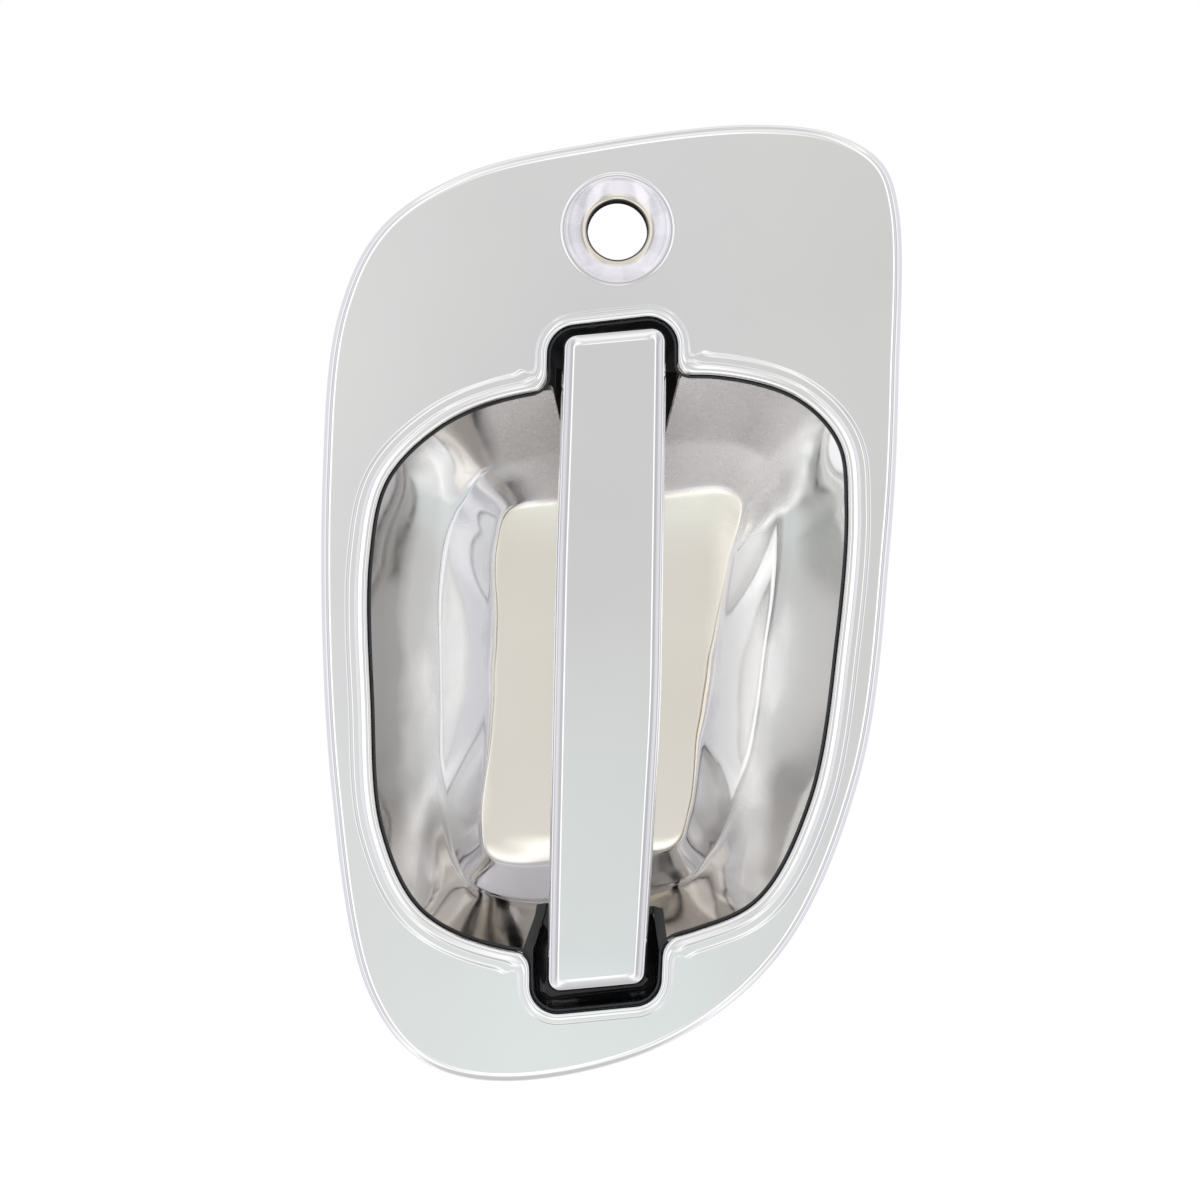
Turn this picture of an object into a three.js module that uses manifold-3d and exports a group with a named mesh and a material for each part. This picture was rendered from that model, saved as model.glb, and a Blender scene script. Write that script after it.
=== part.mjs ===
// Truck cab door handle: chromed bezel with a lock opening, finger cup, vertical pull lever on a
// hinge below, and a bell crank that turns the pull into the stroke of the latch rod.
// Millimetres. X points right, Z up and Y into the door. The door skin is the plane y = 0,
// and the origin is the middle of the finger pocket on that plane.

import * as THREE from 'three';
import { mergeVertices } from 'three/addons/utils/BufferGeometryUtils.js';
import Module from 'manifold-3d';

const wasm = await Module();
wasm.setup();

// ---------------------------------------------------------------- driving dimensions

const crown = { y: -17, z: 15, radiusX: 750, radiusZ: 1400 };   // front face of the bezel
const wall = 2.4;                  // bezel shell
const edgeRoll = 3;                // radius of the rolled outer edge
const baseY = -1.8;                // rim of the bezel, on the gasket
const lipDepth = 4;                // inner lip round the pocket
const beads = [{ width: 6, height: 0.6 }, { width: 3, height: 1.4 }];

const cup = { rimDrop: 4.3, depth: 36, floorShare: 0.5, wall: 2, flange: 5 };
const channel = { inset: 1.5, floorY: 3, topZ: -62, halfWidth: 16 };
const armSlot = { bottomZ: 54, bottomHalf: 13, shoulderZ: 64, topHalf: 19.4 };

const lever = { proud: 2.7, crossRadius: 250, coverWall: 1.6, coverDepth: 9, thickness: 12.5, gap: 0.3 };
const leverScrewZ = [45, -45];

const hinge = { y: 12.5, z: -80, radius: 3 };
const ear = { radius: 8, halfWidth: 8 };
const arm = { inner: 150, outer: 162, halfWidth: 7, from: -8.3, to: 12.2, forkFrom: 5, forkHalf: 3.6 };
const pushPin = { y: 45.4, z: 74.85, radius: 3.5, tail: 7 };

const crank = { y: 26, z: 107, hub: 7, input: 32, inputAngle: 21.5, tip: 4, output: 22, outputAngle: 24 };
const crankPlate = { inputHalf: 2.8, outputFrom: -12, outputTo: -8, hubTo: 16 };

const rail = { inner: 18, outer: 21.5 };
const plate = { front: -1.2, back: 1.8 };
const boxFloor = { y: 4, thickness: 3, z: 87 };
const pinFit = 0.1;                // running clearance on the two pins, on the radius
const pieceGap = 0.3;              // air between pieces that lie on each other

const lock = { x: -1, z: 127, hole: 8.7, dish: 15.7, throat: 9.6, depth: 5, boss: 11, back: 1.5 };
// Pegs that the legs of the two torsion springs bear on: two on the carrier, two on the moving pieces.
const leverSpringPeg = { y: 21, z: -83.3, radius: 1.3, from: 14 };
const crankSpringPeg = { y: 18.5, z: 116, radius: 1.3, from: 12 };
const earPeg = { y: 15.2, z: -88, radius: 1.7, to: 12.4 };
const crankPeg = { y: 34.8, z: 99.6, radius: 1.3, to: 6.2 };

const studs = [[-50, 116], [62, 118], [-50, -102], [46, -77.5]];
const stud = { radius: 3, boss: 5.2, length: 16, nut: 5.77 };
const carrierScrews = [[-44, 92], [46, 97], [-33, -95], [28, -89]];
const screw = { shank: 1.3, pilot: 1.5, head: 3.8, headHeight: 2.4, boss: 3.6, collar: 5.6 };

// Outer outline of the bezel and rim of the bowl: points on a smooth closed curve.
const outlinePoints = [
  [-47, 142], [-7, 152.7], [39.4, 159.3], [62.6, 157.1], [75.9, 149.3], [81, 136.2], [82.3, 85.4],
  [81.2, 39], [74, -30.9], [52.4, -82.9], [18.4, -110.9], [-27.7, -122.4], [-51.1, -117.1],
  [-67, -98], [-79.5, -38.3], [-84.8, 51.4], [-81.5, 101], [-70, 126],
];
const bowlPoints = [
  [-34.5, 76.2], [0, 82.5], [30, 85.2], [53.3, 79.3], [65.5, 67], [68.4, 48], [66.7, 9.5],
  [60.3, -37.1], [46.1, -66.5], [28.9, -75.7], [0, -82.5], [-28.9, -83], [-52.4, -72.9],
  [-64.7, -49.5], [-68.7, -11.9], [-70.3, 28.7], [-66, 52], [-52, 67.5],
];
// Edge of the bowl's floor: [x, z, fillet radius].
const floorCorners = [[-36, 46, 9], [40, 53, 9], [33, 5, 200], [25, -57, 9], [-37, -59, 9], [-34, 5, 200]];
// Corners with their fillet radius. The long sides of the lever bulge a little.
const topNotchCorners = [[-20.9, 98.6, 6], [18.6, 104.4, 6], [19, 60, 2], [-20.6, 60, 2]];
const bottomNotchCorners = [[-21, -60, 2], [18.4, -60, 2], [18.1, -98.2, 6], [-19.6, -103.1, 6]];
const leverCorners = [
  [-15.1, 94.4, 3.5], [13.7, 98, 3.5], [15.6, -10, 600], [12.9, -90.9, 3.5], [-14.3, -94.4, 3.5],
  [-15.7, 30, 600],
];

// ---------------------------------------------------------------- materials

const finishes = {
  chrome: { color: 0xd8dcdc, roughness: 0.08, metalness: 1 },
  cupChrome: { color: 0xbdb9b4, roughness: 0.1, metalness: 1 },
  castChrome: { color: 0xc8c6c2, roughness: 0.25, metalness: 1 },
  nylon: { color: 0x17181a, roughness: 0.6, metalness: 0 },
  rubber: { color: 0x0e0e0f, roughness: 0.85, metalness: 0 },
  zinc: { color: 0xb9bcbe, roughness: 0.35, metalness: 1 },
  springSteel: { color: 0x6f7276, roughness: 0.4, metalness: 1 },
  acetal: { color: 0xe6e2d4, roughness: 0.45, metalness: 0 },
};

// ---------------------------------------------------------------- solids and booleans

function solidOf(geometry) {
  const plain = geometry.clone();
  plain.deleteAttribute('normal');
  plain.deleteAttribute('uv');
  const merged = mergeVertices(plain, 1e-4);
  const mesh = new wasm.Mesh({
    numProp: 3,
    vertProperties: Float32Array.from(merged.attributes.position.array),
    triVerts: Uint32Array.from(merged.index.array),
  });
  return new wasm.Manifold(mesh);
}

function joined(...solids) {
  return solids.flat().reduce((whole, next) => whole.add(next));
}

const root = new THREE.Group();

function place(name, solid, finish) {
  const result = solid.getMesh();
  const geometry = new THREE.BufferGeometry();
  geometry.setAttribute('position', new THREE.BufferAttribute(result.vertProperties, 3));
  geometry.setIndex(new THREE.BufferAttribute(result.triVerts, 1));
  geometry.computeVertexNormals();
  const mesh = new THREE.Mesh(geometry, new THREE.MeshStandardMaterial(finishes[finish]));
  mesh.name = name;
  root.add(mesh);
}

// A shape drawn in x and z, extruded along Y.
function prismY(shape, from, to) {
  const options = { depth: to - from, bevelEnabled: false, curveSegments: 8 };
  const geometry = new THREE.ExtrudeGeometry(shape, options);
  geometry.rotateX(Math.PI / 2);
  geometry.translate(0, to, 0);
  return solidOf(geometry);
}

// A shape drawn in y and z, extruded along X.
function prismX(shape, from, to) {
  const options = { depth: to - from, bevelEnabled: false, curveSegments: 10 };
  const geometry = new THREE.ExtrudeGeometry(shape, options);
  geometry.applyMatrix4(new THREE.Matrix4().set(0, 0, 1, from, 1, 0, 0, 0, 0, 1, 0, 0, 0, 0, 0, 1));
  return solidOf(geometry);
}

function cylinderY([x, z], radius, from, to, sides = 24) {
  const geometry = new THREE.CylinderGeometry(radius, radius, to - from, sides);
  geometry.translate(x, (from + to) / 2, z);
  return solidOf(geometry);
}

function cylinderX({ y, z }, radius, from, to, sides = 24) {
  const geometry = new THREE.CylinderGeometry(radius, radius, to - from, sides);
  geometry.rotateZ(Math.PI / 2);
  geometry.translate((from + to) / 2, y, z);
  return solidOf(geometry);
}

// A turned piece: [radius, y] points from axis to axis, about an axis along Y at (x, z).
function turnedY([x, z], profile, sides = 24) {
  const geometry = new THREE.LatheGeometry(profile.map(([r, y]) => new THREE.Vector2(r, y)), sides);
  geometry.translate(x, 0, z);
  return upright(geometry);
}

// The same about an axis along X: [radius, x] points.
function turnedX({ y, z }, profile, sides = 24) {
  const geometry = new THREE.LatheGeometry(profile.map(([r, x]) => new THREE.Vector2(r, x)), sides);
  geometry.rotateZ(-Math.PI / 2);
  geometry.translate(0, y, z);
  return upright(geometry);
}

function box(x0, x1, y0, y1, z0, z1) {
  const geometry = new THREE.BoxGeometry(x1 - x0, y1 - y0, z1 - z0);
  geometry.translate((x0 + x1) / 2, (y0 + y1) / 2, (z0 + z1) / 2);
  return solidOf(geometry);
}

// Turns a closed geometry outside out if its triangles face inwards.
function upright(geometry) {
  const corner = new THREE.Vector3();
  const edges = [new THREE.Vector3(), new THREE.Vector3()];
  const position = geometry.attributes.position;
  const index = geometry.index.array;
  let volume = 0;
  for (let i = 0; i < index.length; i += 3) {
    corner.fromBufferAttribute(position, index[i]);
    edges[0].fromBufferAttribute(position, index[i + 1]);
    edges[1].fromBufferAttribute(position, index[i + 2]);
    volume += corner.dot(edges[0].cross(edges[1]));
  }
  if (volume < 0) {
    geometry.setIndex(Array.from(index).reverse());
  }
  return solidOf(geometry);
}

// ---------------------------------------------------------------- outlines in the face plane

function smoothLoop(points, count) {
  const curve = new THREE.CatmullRomCurve3(points.map(([x, z]) => new THREE.Vector3(x, z, 0)), true);
  const steps = Array.from({ length: count }, (_, i) => curve.getPointAt(i / count));
  return steps.map((p) => new THREE.Vector2(p.x, p.y));
}

// A polygon with filleted corners, its straight sides divided into short steps.
function filletedLoop(corners, step = 26) {
  const loop = [];
  corners.forEach(([x, z, radius], i) => {
    const here = new THREE.Vector2(x, z);
    const before = new THREE.Vector2(...corners.at(i - 1)).sub(here).normalize();
    const after = new THREE.Vector2(...corners[(i + 1) % corners.length]).sub(here).normalize();
    const half = before.angleTo(after) / 2;
    const middle = before.clone().add(after).normalize().multiplyScalar(radius / Math.sin(half)).add(here);
    const start = before.clone().multiplyScalar(radius / Math.tan(half)).add(here).sub(middle);
    const end = after.clone().multiplyScalar(radius / Math.tan(half)).add(here).sub(middle);
    const turn = Math.atan2(start.x * end.y - start.y * end.x, start.dot(end));
    const pieces = Math.max(2, Math.ceil(Math.abs(turn) / 0.3));
    for (let k = 0; k <= pieces; k += 1) {
      loop.push(start.clone().rotateAround(new THREE.Vector2(), (turn * k) / pieces).add(middle));
    }
  });
  return loop.flatMap((p, i) => {
    const next = loop[(i + 1) % loop.length];
    const pieces = Math.ceil(p.distanceTo(next) / step);
    return Array.from({ length: pieces }, (_, k) => p.clone().lerp(next, k / pieces));
  });
}

// Moves every point of a loop outwards along its normal.
function grown(loop, distance) {
  const area = loop.reduce((sum, p, i) => sum + p.cross(loop[(i + 1) % loop.length]), 0);
  return loop.map((p, i) => {
    const along = loop[(i + 1) % loop.length].clone().sub(loop.at(i - 1)).normalize();
    return new THREE.Vector2(along.y, -along.x).multiplyScalar(Math.sign(area) * distance).add(p);
  });
}

const outline = smoothLoop(outlinePoints, 48);
const bowlRim = smoothLoop(bowlPoints, 44);
const bowlFloor = filletedLoop(floorCorners, 10);
const topNotch = filletedLoop(topNotchCorners);
const bottomNotch = filletedLoop(bottomNotchCorners);
const leverLoop = filletedLoop(leverCorners);

// ---------------------------------------------------------------- curved faces

function faceY(x, z) {
  return crown.y + x ** 2 / (2 * crown.radiusX) + (z - crown.z) ** 2 / (2 * crown.radiusZ);
}

function leverY(x, z) {
  return faceY(0, z) - lever.proud + x ** 2 / (2 * lever.crossRadius);
}

// Skins a stack of rings, each [x, y, z] points, with a point at either end.
function lofted(first, rings, last) {
  const count = rings[0].length;
  const vertices = [first, ...rings.flat(), last];
  const end = vertices.length - 1;
  const index = [];
  for (let i = 0; i < count; i += 1) {
    const next = (i + 1) % count;
    index.push(0, 1 + i, 1 + next);
    for (let k = 0; k + 1 < rings.length; k += 1) {
      const inner = 1 + k * count;
      const outer = inner + count;
      index.push(inner + i, outer + i, outer + next);
      index.push(inner + i, outer + next, inner + next);
    }
    index.push(end, end - count + next, end - count + i);
  }
  const geometry = new THREE.BufferGeometry();
  geometry.setAttribute('position', new THREE.Float32BufferAttribute(vertices.flat(), 3));
  geometry.setIndex(index);
  return upright(geometry);
}

const rolledEdge = [90, 60, 30, 0].map((degrees) => {
  const angle = THREE.MathUtils.degToRad(degrees);
  return [edgeRoll * (1 - Math.cos(angle)), edgeRoll * (1 - Math.sin(angle))];
});

// A block with a curved front: loop is its outline, face its front, edge a list of
// [inset, drop] steps from the side to the front, and back the depth of its flat or curved rear.
function curvedBlock({ loop, face, back, inset = 0, drop = 0, edge = [[0, 0]] }) {
  const middle = loop.reduce((sum, p) => sum.add(p), new THREE.Vector2()).divideScalar(loop.length);
  const backAt = typeof back === 'function' ? back : () => back;
  const inner = grown(loop, -inset - edge[0][0]);
  const front = [0.35, 0.7].map((part) => inner.map((p) => middle.clone().lerp(p, part)));
  const rings = front.map((ring) => ring.map((p) => [p.x, face(p.x, p.y) + drop, p.y]));
  edge.forEach(([inwards, down]) => {
    const ring = grown(loop, -inset - inwards);
    rings.push(ring.map((p) => [p.x, face(p.x, p.y) + drop + down, p.y]));
  });
  const rear = grown(loop, -inset);
  rings.push(rear.map((p) => [p.x, backAt(p.x, p.y), p.y]));
  if (typeof back === 'function') {
    rings.push(rear.map((p) => middle.clone().lerp(p, 0.5)).map((p) => [p.x, backAt(p.x, p.y), p.y]));
  }
  const centre = [middle.x, face(middle.x, middle.y) + drop, middle.y];
  return lofted(centre, rings, [middle.x, backAt(middle.x, middle.y), middle.y]);
}

function bezelBlock(drop, inset, back) {
  return curvedBlock({ loop: outline, face: faceY, back, inset, drop, edge: rolledEdge });
}

// Everything between two depths behind the front face, inside the bezel's wall.
function layer(from, to) {
  const inset = wall + pieceGap;
  const front = curvedBlock({ loop: outline, face: faceY, back: 60, inset, drop: from });
  return front.subtract(curvedBlock({ loop: outline, face: faceY, back: 61, inset: -1, drop: to }));
}

const ahead = -60;
const behind = 60;

function loopPrism(loop, from, to) {
  return prismY(new THREE.Shape(loop), from, to);
}

// The pocket as seen from the front: bowl and both notches, grown outwards.
function openingPrism(grow) {
  return joined([bowlRim, topNotch, bottomNotch].map((loop) => loopPrism(grown(loop, grow), ahead, behind)));
}

// Distance from the origin to a loop round it, in the direction of p.
function reachOf(loop, p) {
  const way = p.clone().normalize();
  const crossings = loop.map((from, i) => {
    const along = loop[(i + 1) % loop.length].clone().sub(from);
    const part = way.cross(from) / along.cross(way);
    return part >= 0 && part <= 1 ? from.dot(way) + part * along.dot(way) : 0;
  });
  return Math.max(...crossings);
}

// How steep the bowl is, from its middle (0) to its rim (1): a flat floor, a fillet, a wall.
function steepness(share) {
  const { smoothstep } = THREE.MathUtils;
  const floor = cup.floorShare;
  return 0.22 * smoothstep(share, 0.12, floor) + 0.36 * smoothstep(share, floor - 0.03, floor + 0.03)
    + 0.24 * smoothstep(share, floor, 0.72) + 0.35 * smoothstep(share, 0.66, 1.1);
}

// How far a point of the bowl is above its middle, as a part of the bowl's depth.
function riseAt(share) {
  const steps = 200;
  const heights = Array.from({ length: steps }, (_, i) => steepness((i + 0.5) / steps));
  const sum = (to) => heights.slice(0, Math.round(to * steps)).reduce((total, h) => total + h, 0);
  return sum(share) / sum(1);
}

// All the air of the bowl, grown by a wall thickness.
function bowlBlock(grow) {
  const rim = grown(bowlRim, grow);
  const shares = [0.25, 0.4, 0.48, 0.53, 0.62, 0.74, 0.87, 1];
  const rings = shares.map((share) => rim.map((p) => {
    const edge = reachOf(bowlFloor, p) + grow;
    const beyond = (share - cup.floorShare) / (1 - cup.floorShare);
    const far = beyond < 0 ? (edge * share) / cup.floorShare : edge + (p.length() - edge) * beyond;
    const at = p.clone().setLength(far);
    return [at.x, faceY(at.x, at.y) + cup.rimDrop + cup.depth * (1 - riseAt(share)) + grow, at.y];
  }));
  rings.push(rim.map((p) => [p.x, ahead, p.y]));
  return lofted([0, faceY(0, 0) + cup.rimDrop + cup.depth + grow, 0], rings, [0, ahead, 0]);
}

// The recess for the lever's lower end, grown by a wall thickness.
function channelBlock(grow) {
  const end = grown(bottomNotch, grow - channel.inset);
  const side = channel.halfWidth + grow;
  const to = channel.floorY + grow;
  return joined(loopPrism(end, ahead, to).intersect(box(-40, 40, ahead, behind, -120, -72)),
    box(-side, side, ahead, to, -90, channel.topZ));
}

// ---------------------------------------------------------------- bezel

function screwBoss([x, z]) {
  const front = faceY(x, z) + 1;
  return cylinderY([x, z], screw.boss, front, plate.front - pieceGap, 16);
}

function makeBezel() {
  const shell = bezelBlock(0, 0, baseY).subtract(bezelBlock(wall, wall, 20));
  const core = bezelBlock(0, 0, 1);
  const lip = openingPrism(wall).intersect(core).subtract(bezelBlock(lipDepth, -1, 20));
  const raised = beads.map(({ width, height }) => {
    const band = openingPrism(width).intersect(bezelBlock(-height, 0, 1));
    return band.subtract(bezelBlock(1, -1, 20));
  });
  const centre = [lock.x, lock.z];
  const front = faceY(...centre);
  const lockTube = cylinderY(centre, lock.boss, front + 1, lock.back, 32);
  const lockCollar = turnedY(centre, [
    [0, front + 0.5], [lock.dish + 1, front + 0.5], [lock.dish + 1, front + wall + 1],
    [lock.boss, front + lock.depth + wall], [0, front + lock.depth + wall],
  ], 32).intersect(core);
  const lockDish = turnedY(centre, [
    [0, ahead], [lock.dish, ahead], [lock.dish, front + 0.4], [lock.throat, front + lock.depth],
    [lock.hole, front + lock.depth + 0.4], [lock.hole, behind], [0, behind],
  ], 32);
  const studBosses = studs.map((at) => cylinderY(at, stud.boss, faceY(...at) + 1, 0));
  const studHoles = studs.map((at) => cylinderY(at, stud.radius + pinFit, faceY(...at) + 3.4, 1));
  const screwBosses = carrierScrews.map(screwBoss);
  const pilots = carrierScrews.map((at) => cylinderY(at, screw.pilot, faceY(...at) + 3, 1, 12));
  return joined(shell, lip, raised, lockTube, lockCollar, studBosses, screwBosses)
    .subtract(joined(openingPrism(0), lockDish, studHoles, pilots));
}

// ---------------------------------------------------------------- finger cup

// From the rim of the bowl to a screw, as a rounded strip in the face plane.
function link([x0, z0], r0, [x1, z1], r1) {
  const angle = Math.atan2(z1 - z0, x1 - x0);
  const spread = Math.acos((r0 - r1) / Math.hypot(x1 - x0, z1 - z0));
  const shape = new THREE.Shape();
  shape.absarc(x0, z0, r0, angle + spread, angle - spread + 2 * Math.PI, false);
  shape.absarc(x1, z1, r1, angle - spread, angle + spread, false);
  return shape;
}

function armOpening() {
  const shape = new THREE.Shape();
  shape.moveTo(-armSlot.topHalf - 1, 84);
  shape.lineTo(-armSlot.bottomHalf, armSlot.shoulderZ);
  shape.quadraticCurveTo(-armSlot.bottomHalf, armSlot.bottomZ, 0, armSlot.bottomZ);
  shape.quadraticCurveTo(armSlot.bottomHalf, armSlot.bottomZ, armSlot.bottomHalf, armSlot.shoulderZ);
  shape.lineTo(armSlot.topHalf - 1, 84);
  return prismY(shape, ahead, behind);
}

function makeCup() {
  const tabs = carrierScrews.map(([x, z]) => prismY(link([x * 0.9, z * 0.8], 9, [x, z], 6), ahead, behind));
  const flange = joined(openingPrism(cup.flange), tabs)
    .intersect(layer(cup.rimDrop, cup.rimDrop + cup.wall));
  const shells = joined(bowlBlock(cup.wall), channelBlock(cup.wall)).intersect(layer(cup.rimDrop, 60));
  const clear = [
    ...studs.map((at) => cylinderY(at, stud.boss + 0.5, ahead, behind)),
    ...carrierScrews.map((at) => cylinderY(at, screw.boss + 0.4, ahead, behind, 16)),
  ];
  const earSlot = box(-ear.halfWidth - 1, ear.halfWidth + 1, -20, 20, hinge.z - 11, hinge.z + 11);
  const topOpening = loopPrism(topNotch, ahead, behind);
  return joined(flange, shells)
    .subtract(joined(bowlBlock(0), channelBlock(0), topOpening, armOpening(), earSlot, clear));
}

// ---------------------------------------------------------------- carrier

function railShape() {
  const points = [
    [plate.front, -104], [plate.back, -104], [12, -98], [23, -86], [30, -62], [33, -20], [33, 50],
    [37, 96], [36, 112], [29, 119], [18, 119], [8, 110], [plate.back, 104], [plate.front, 104],
  ];
  return new THREE.Shape(points.map(([y, z]) => new THREE.Vector2(y, z)));
}

function makeCarrier() {
  const rails = [-1, 1].map((side) => {
    const [from, to] = [side * rail.inner, side * rail.outer].sort((a, b) => a - b);
    return prismX(railShape(), from, to);
  });
  const plates = [
    box(-52, 54, plate.front, plate.back, 86, 104),
    box(-39.5, 34.5, plate.front, plate.back, -104, -84),
  ];
  const pegs = [leverSpringPeg, crankSpringPeg].map((peg) => cylinderX(peg, peg.radius, peg.from, 19, 12));
  const webs = [[-26, -16], [36, 46]].map(([z0, z1]) => box(-rail.outer, rail.outer, 28, 33, z0, z1));
  const shrouds = [[-rail.outer, -9], [9, rail.outer]].map(([x0, x1]) => box(x0, x1, 30, 33, 50, 96));
  const outer = loopPrism(grown(topNotch, 2.5), -7.4, boxFloor.y + boxFloor.thickness);
  const inner = loopPrism(grown(topNotch, 0.5), ahead, boxFloor.y);
  const low = box(-60, 60, ahead, behind, 0, boxFloor.z);
  const leverBox = outer.subtract(inner).subtract(low);
  const collars = carrierScrews.map(([x, z]) => {
    const front = faceY(x, z) + cup.rimDrop + cup.wall + 0.9;
    return cylinderY([x, z], screw.collar, front, plate.back, 20);
  });
  const pockets = carrierScrews.map(([x, z]) => joined(
    cylinderY([x, z], screw.boss + 0.4, ahead, plate.front, 16),
    cylinderY([x, z], screw.shank + 0.4, ahead, behind, 16),
  ));
  const holes = [
    cylinderX(hinge, hinge.radius + pinFit, -30, 30),
    cylinderX(crank, hinge.radius + pinFit, -30, 30),
    ...bumperSpots().map((at) => cylinderY(at, 2.1, 0, 12, 16)),
  ];
  const middle = box(-16, 16, ahead, behind, 50, boxFloor.z);
  const air = [
    bowlBlock(cup.wall + 0.7), channelBlock(cup.wall + 0.7),
    loopPrism(grown(topNotch, 0.5), ahead, boxFloor.y),
    middle.intersect(box(-16, 16, ahead, 28, 50, boxFloor.z)),
    box(-8.2, 8.2, boxFloor.y - 1, behind, boxFloor.z, 93),
  ];
  const lockAir = cylinderY([lock.x, lock.z], lock.boss + 1, ahead, behind);
  const within = loopPrism(grown(outline, -6.5), ahead, behind);
  return joined(rails, plates, webs, shrouds, leverBox, collars, pegs).intersect(within)
    .subtract(joined(pockets, holes, air, lockAir));
}

function bumperSpots() {
  return [[-12, 92], [11, 92]];
}

// ---------------------------------------------------------------- lever

const leverEdge = [[2.6, 0], [0.5, 1.3], [0, 1.9]];
const plainEdge = [[0, 0]];

function leverBlock({ drop = 0, inset = 0, back, edge = plainEdge }) {
  const rear = (x, z) => leverY(0, z) + back;
  return curvedBlock({ loop: leverLoop, face: leverY, back: rear, inset, drop, edge });
}

function screwAxis(z) {
  return [0, z];
}

function makeLeverCover() {
  const skin = leverBlock({ back: lever.coverDepth, edge: leverEdge })
    .subtract(leverBlock({ drop: lever.coverWall, inset: lever.coverWall, back: 30 }));
  const bosses = leverScrewZ.map((z) => {
    const at = screwAxis(z);
    const boss = cylinderY(at, 3, leverY(0, z) + 1, leverY(0, z) + 6.5, 16);
    return boss.subtract(cylinderY(at, screw.pilot, leverY(0, z) + 2.2, leverY(0, z) + 8, 12));
  });
  return joined(skin, bosses);
}

function arcShape(inner, outer, from, to) {
  const start = Math.PI / 2 - THREE.MathUtils.degToRad(from);
  const end = Math.PI / 2 - THREE.MathUtils.degToRad(to);
  const shape = new THREE.Shape();
  shape.absarc(hinge.y, hinge.z, outer, start, end, true);
  shape.absarc(hinge.y, hinge.z, inner, end, start, false);
  return shape;
}

function makeLeverCore() {
  const inset = lever.coverWall + lever.gap;
  const filling = leverBlock({ drop: lever.coverWall + 0.4, inset, back: lever.coverDepth + 1 });
  const grip = leverBlock({ drop: lever.coverDepth + 0.3, inset: 0.6, back: lever.thickness });
  const armBar = prismX(arcShape(arm.inner, arm.outer, arm.from, arm.to), -arm.halfWidth, arm.halfWidth);
  const tail = cylinderX(pushPin, pushPin.tail, -arm.halfWidth, arm.halfWidth);
  const fork = prismX(arcShape(arm.inner - 10, arm.outer + 10, arm.forkFrom, arm.to + 6),
    -arm.forkHalf, arm.forkHalf);
  const earBody = cylinderX(hinge, ear.radius, -ear.halfWidth, ear.halfWidth, 32);
  const earWeb = prismX(link([hinge.y, hinge.z], ear.radius - 0.5, [-6, hinge.z + 2], ear.radius - 1),
    -ear.halfWidth, ear.halfWidth);
  const screwHoles = leverScrewZ.map((z) => {
    const front = leverY(0, z);
    return joined(
      cylinderY(screwAxis(z), 3.3, front, front + 6.8, 16),
      cylinderY(screwAxis(z), screw.shank + 0.4, front, front + 30, 12),
      cylinderY(screwAxis(z), 3.4, front + 9.4, front + 30, 16),
    );
  });
  const peg = cylinderX(earPeg, earPeg.radius, 6, earPeg.to, 12);
  return joined(filling, grip, armBar, tail, earBody, earWeb, peg).subtract(joined(
    fork, screwHoles,
    cylinderX(hinge, 4.7, -20, 20),
    cylinderX(pushPin, pushPin.radius + pinFit, -20, 20),
  ));
}

function leverScrew(z) {
  const seat = leverY(0, z) + 9.6;
  return joined(
    cylinderY(screwAxis(z), 2.9, seat, seat + 1.8, 20),
    cylinderY(screwAxis(z), screw.shank, leverY(0, z) + 3, seat + 0.5, 12),
  ).subtract(box(-2, 2, seat + 1, seat + 3, z - 0.4, z + 0.4));
}

function makeBush(side) {
  const inner = hinge.radius + pinFit;
  const end = ear.halfWidth + 1.2;
  const profile = [
    [inner, end - 7], [4.6, end - 7], [4.6, end - 1], [6.4, end - 1], [6.4, end], [inner, end],
  ];
  const points = [...profile, profile[0]].map(([r, x]) => [r, side * x]);
  return turnedX(hinge, points);
}

// ---------------------------------------------------------------- pins, clips and springs

function makePin(axis, reach) {
  const r = hinge.radius;
  return turnedX(axis, [
    [0, -reach - 2.2], [4.6, -reach - 2.2], [4.6, -reach], [r, -reach], [r, reach + 0.4],
    [r - 0.7, reach + 0.4], [r - 0.7, reach + 1.6], [r, reach + 1.6], [r, reach + 2.6],
    [r - 0.6, reach + 3.2], [0, reach + 3.2],
  ]);
}

function makeClip(axis, reach) {
  const open = 0.5;
  const inner = hinge.radius - 0.5;
  const shape = new THREE.Shape();
  shape.absarc(axis.y, axis.z, 5.2, -Math.PI / 2 + open, 1.5 * Math.PI - open, false);
  shape.absarc(axis.y, axis.z, inner, 1.5 * Math.PI - open, -Math.PI / 2 + open, true);
  return prismX(shape, reach + 0.6, reach + 1.4);
}

// A torsion spring round an axis along X: a coil with two straight legs.
function torsionSpring({ axis, radius, wire, turns, from, to, legs }) {
  const steps = turns * 16;
  const at = (part) => {
    const angle = part * turns * 2 * Math.PI;
    const x = from + (to - from) * part;
    return new THREE.Vector3(x, axis.y + radius * Math.cos(angle), axis.z + radius * Math.sin(angle));
  };
  const coil = Array.from({ length: Math.round(steps) + 1 }, (_, i) => at(i / Math.round(steps)));
  const leg = (end, length) => [0.15, 0.5, 1].map((part) => {
    const along = new THREE.Vector3(0, axis.z - end.z, end.y - axis.y).normalize();
    return along.multiplyScalar(part * length).add(end);
  });
  const path = [...leg(coil[0], -legs[0]).reverse(), ...coil, ...leg(coil.at(-1), legs[1])];
  const curve = new THREE.CatmullRomCurve3(path, false, 'centripetal');
  const section = new THREE.Shape();
  section.absarc(0, 0, wire / 2, 0, 2 * Math.PI, false);
  const options = { extrudePath: curve, steps: path.length, curveSegments: 3 };
  const geometry = new THREE.ExtrudeGeometry(section, options);
  return solidOf(geometry);
}

// ---------------------------------------------------------------- bell crank

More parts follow.
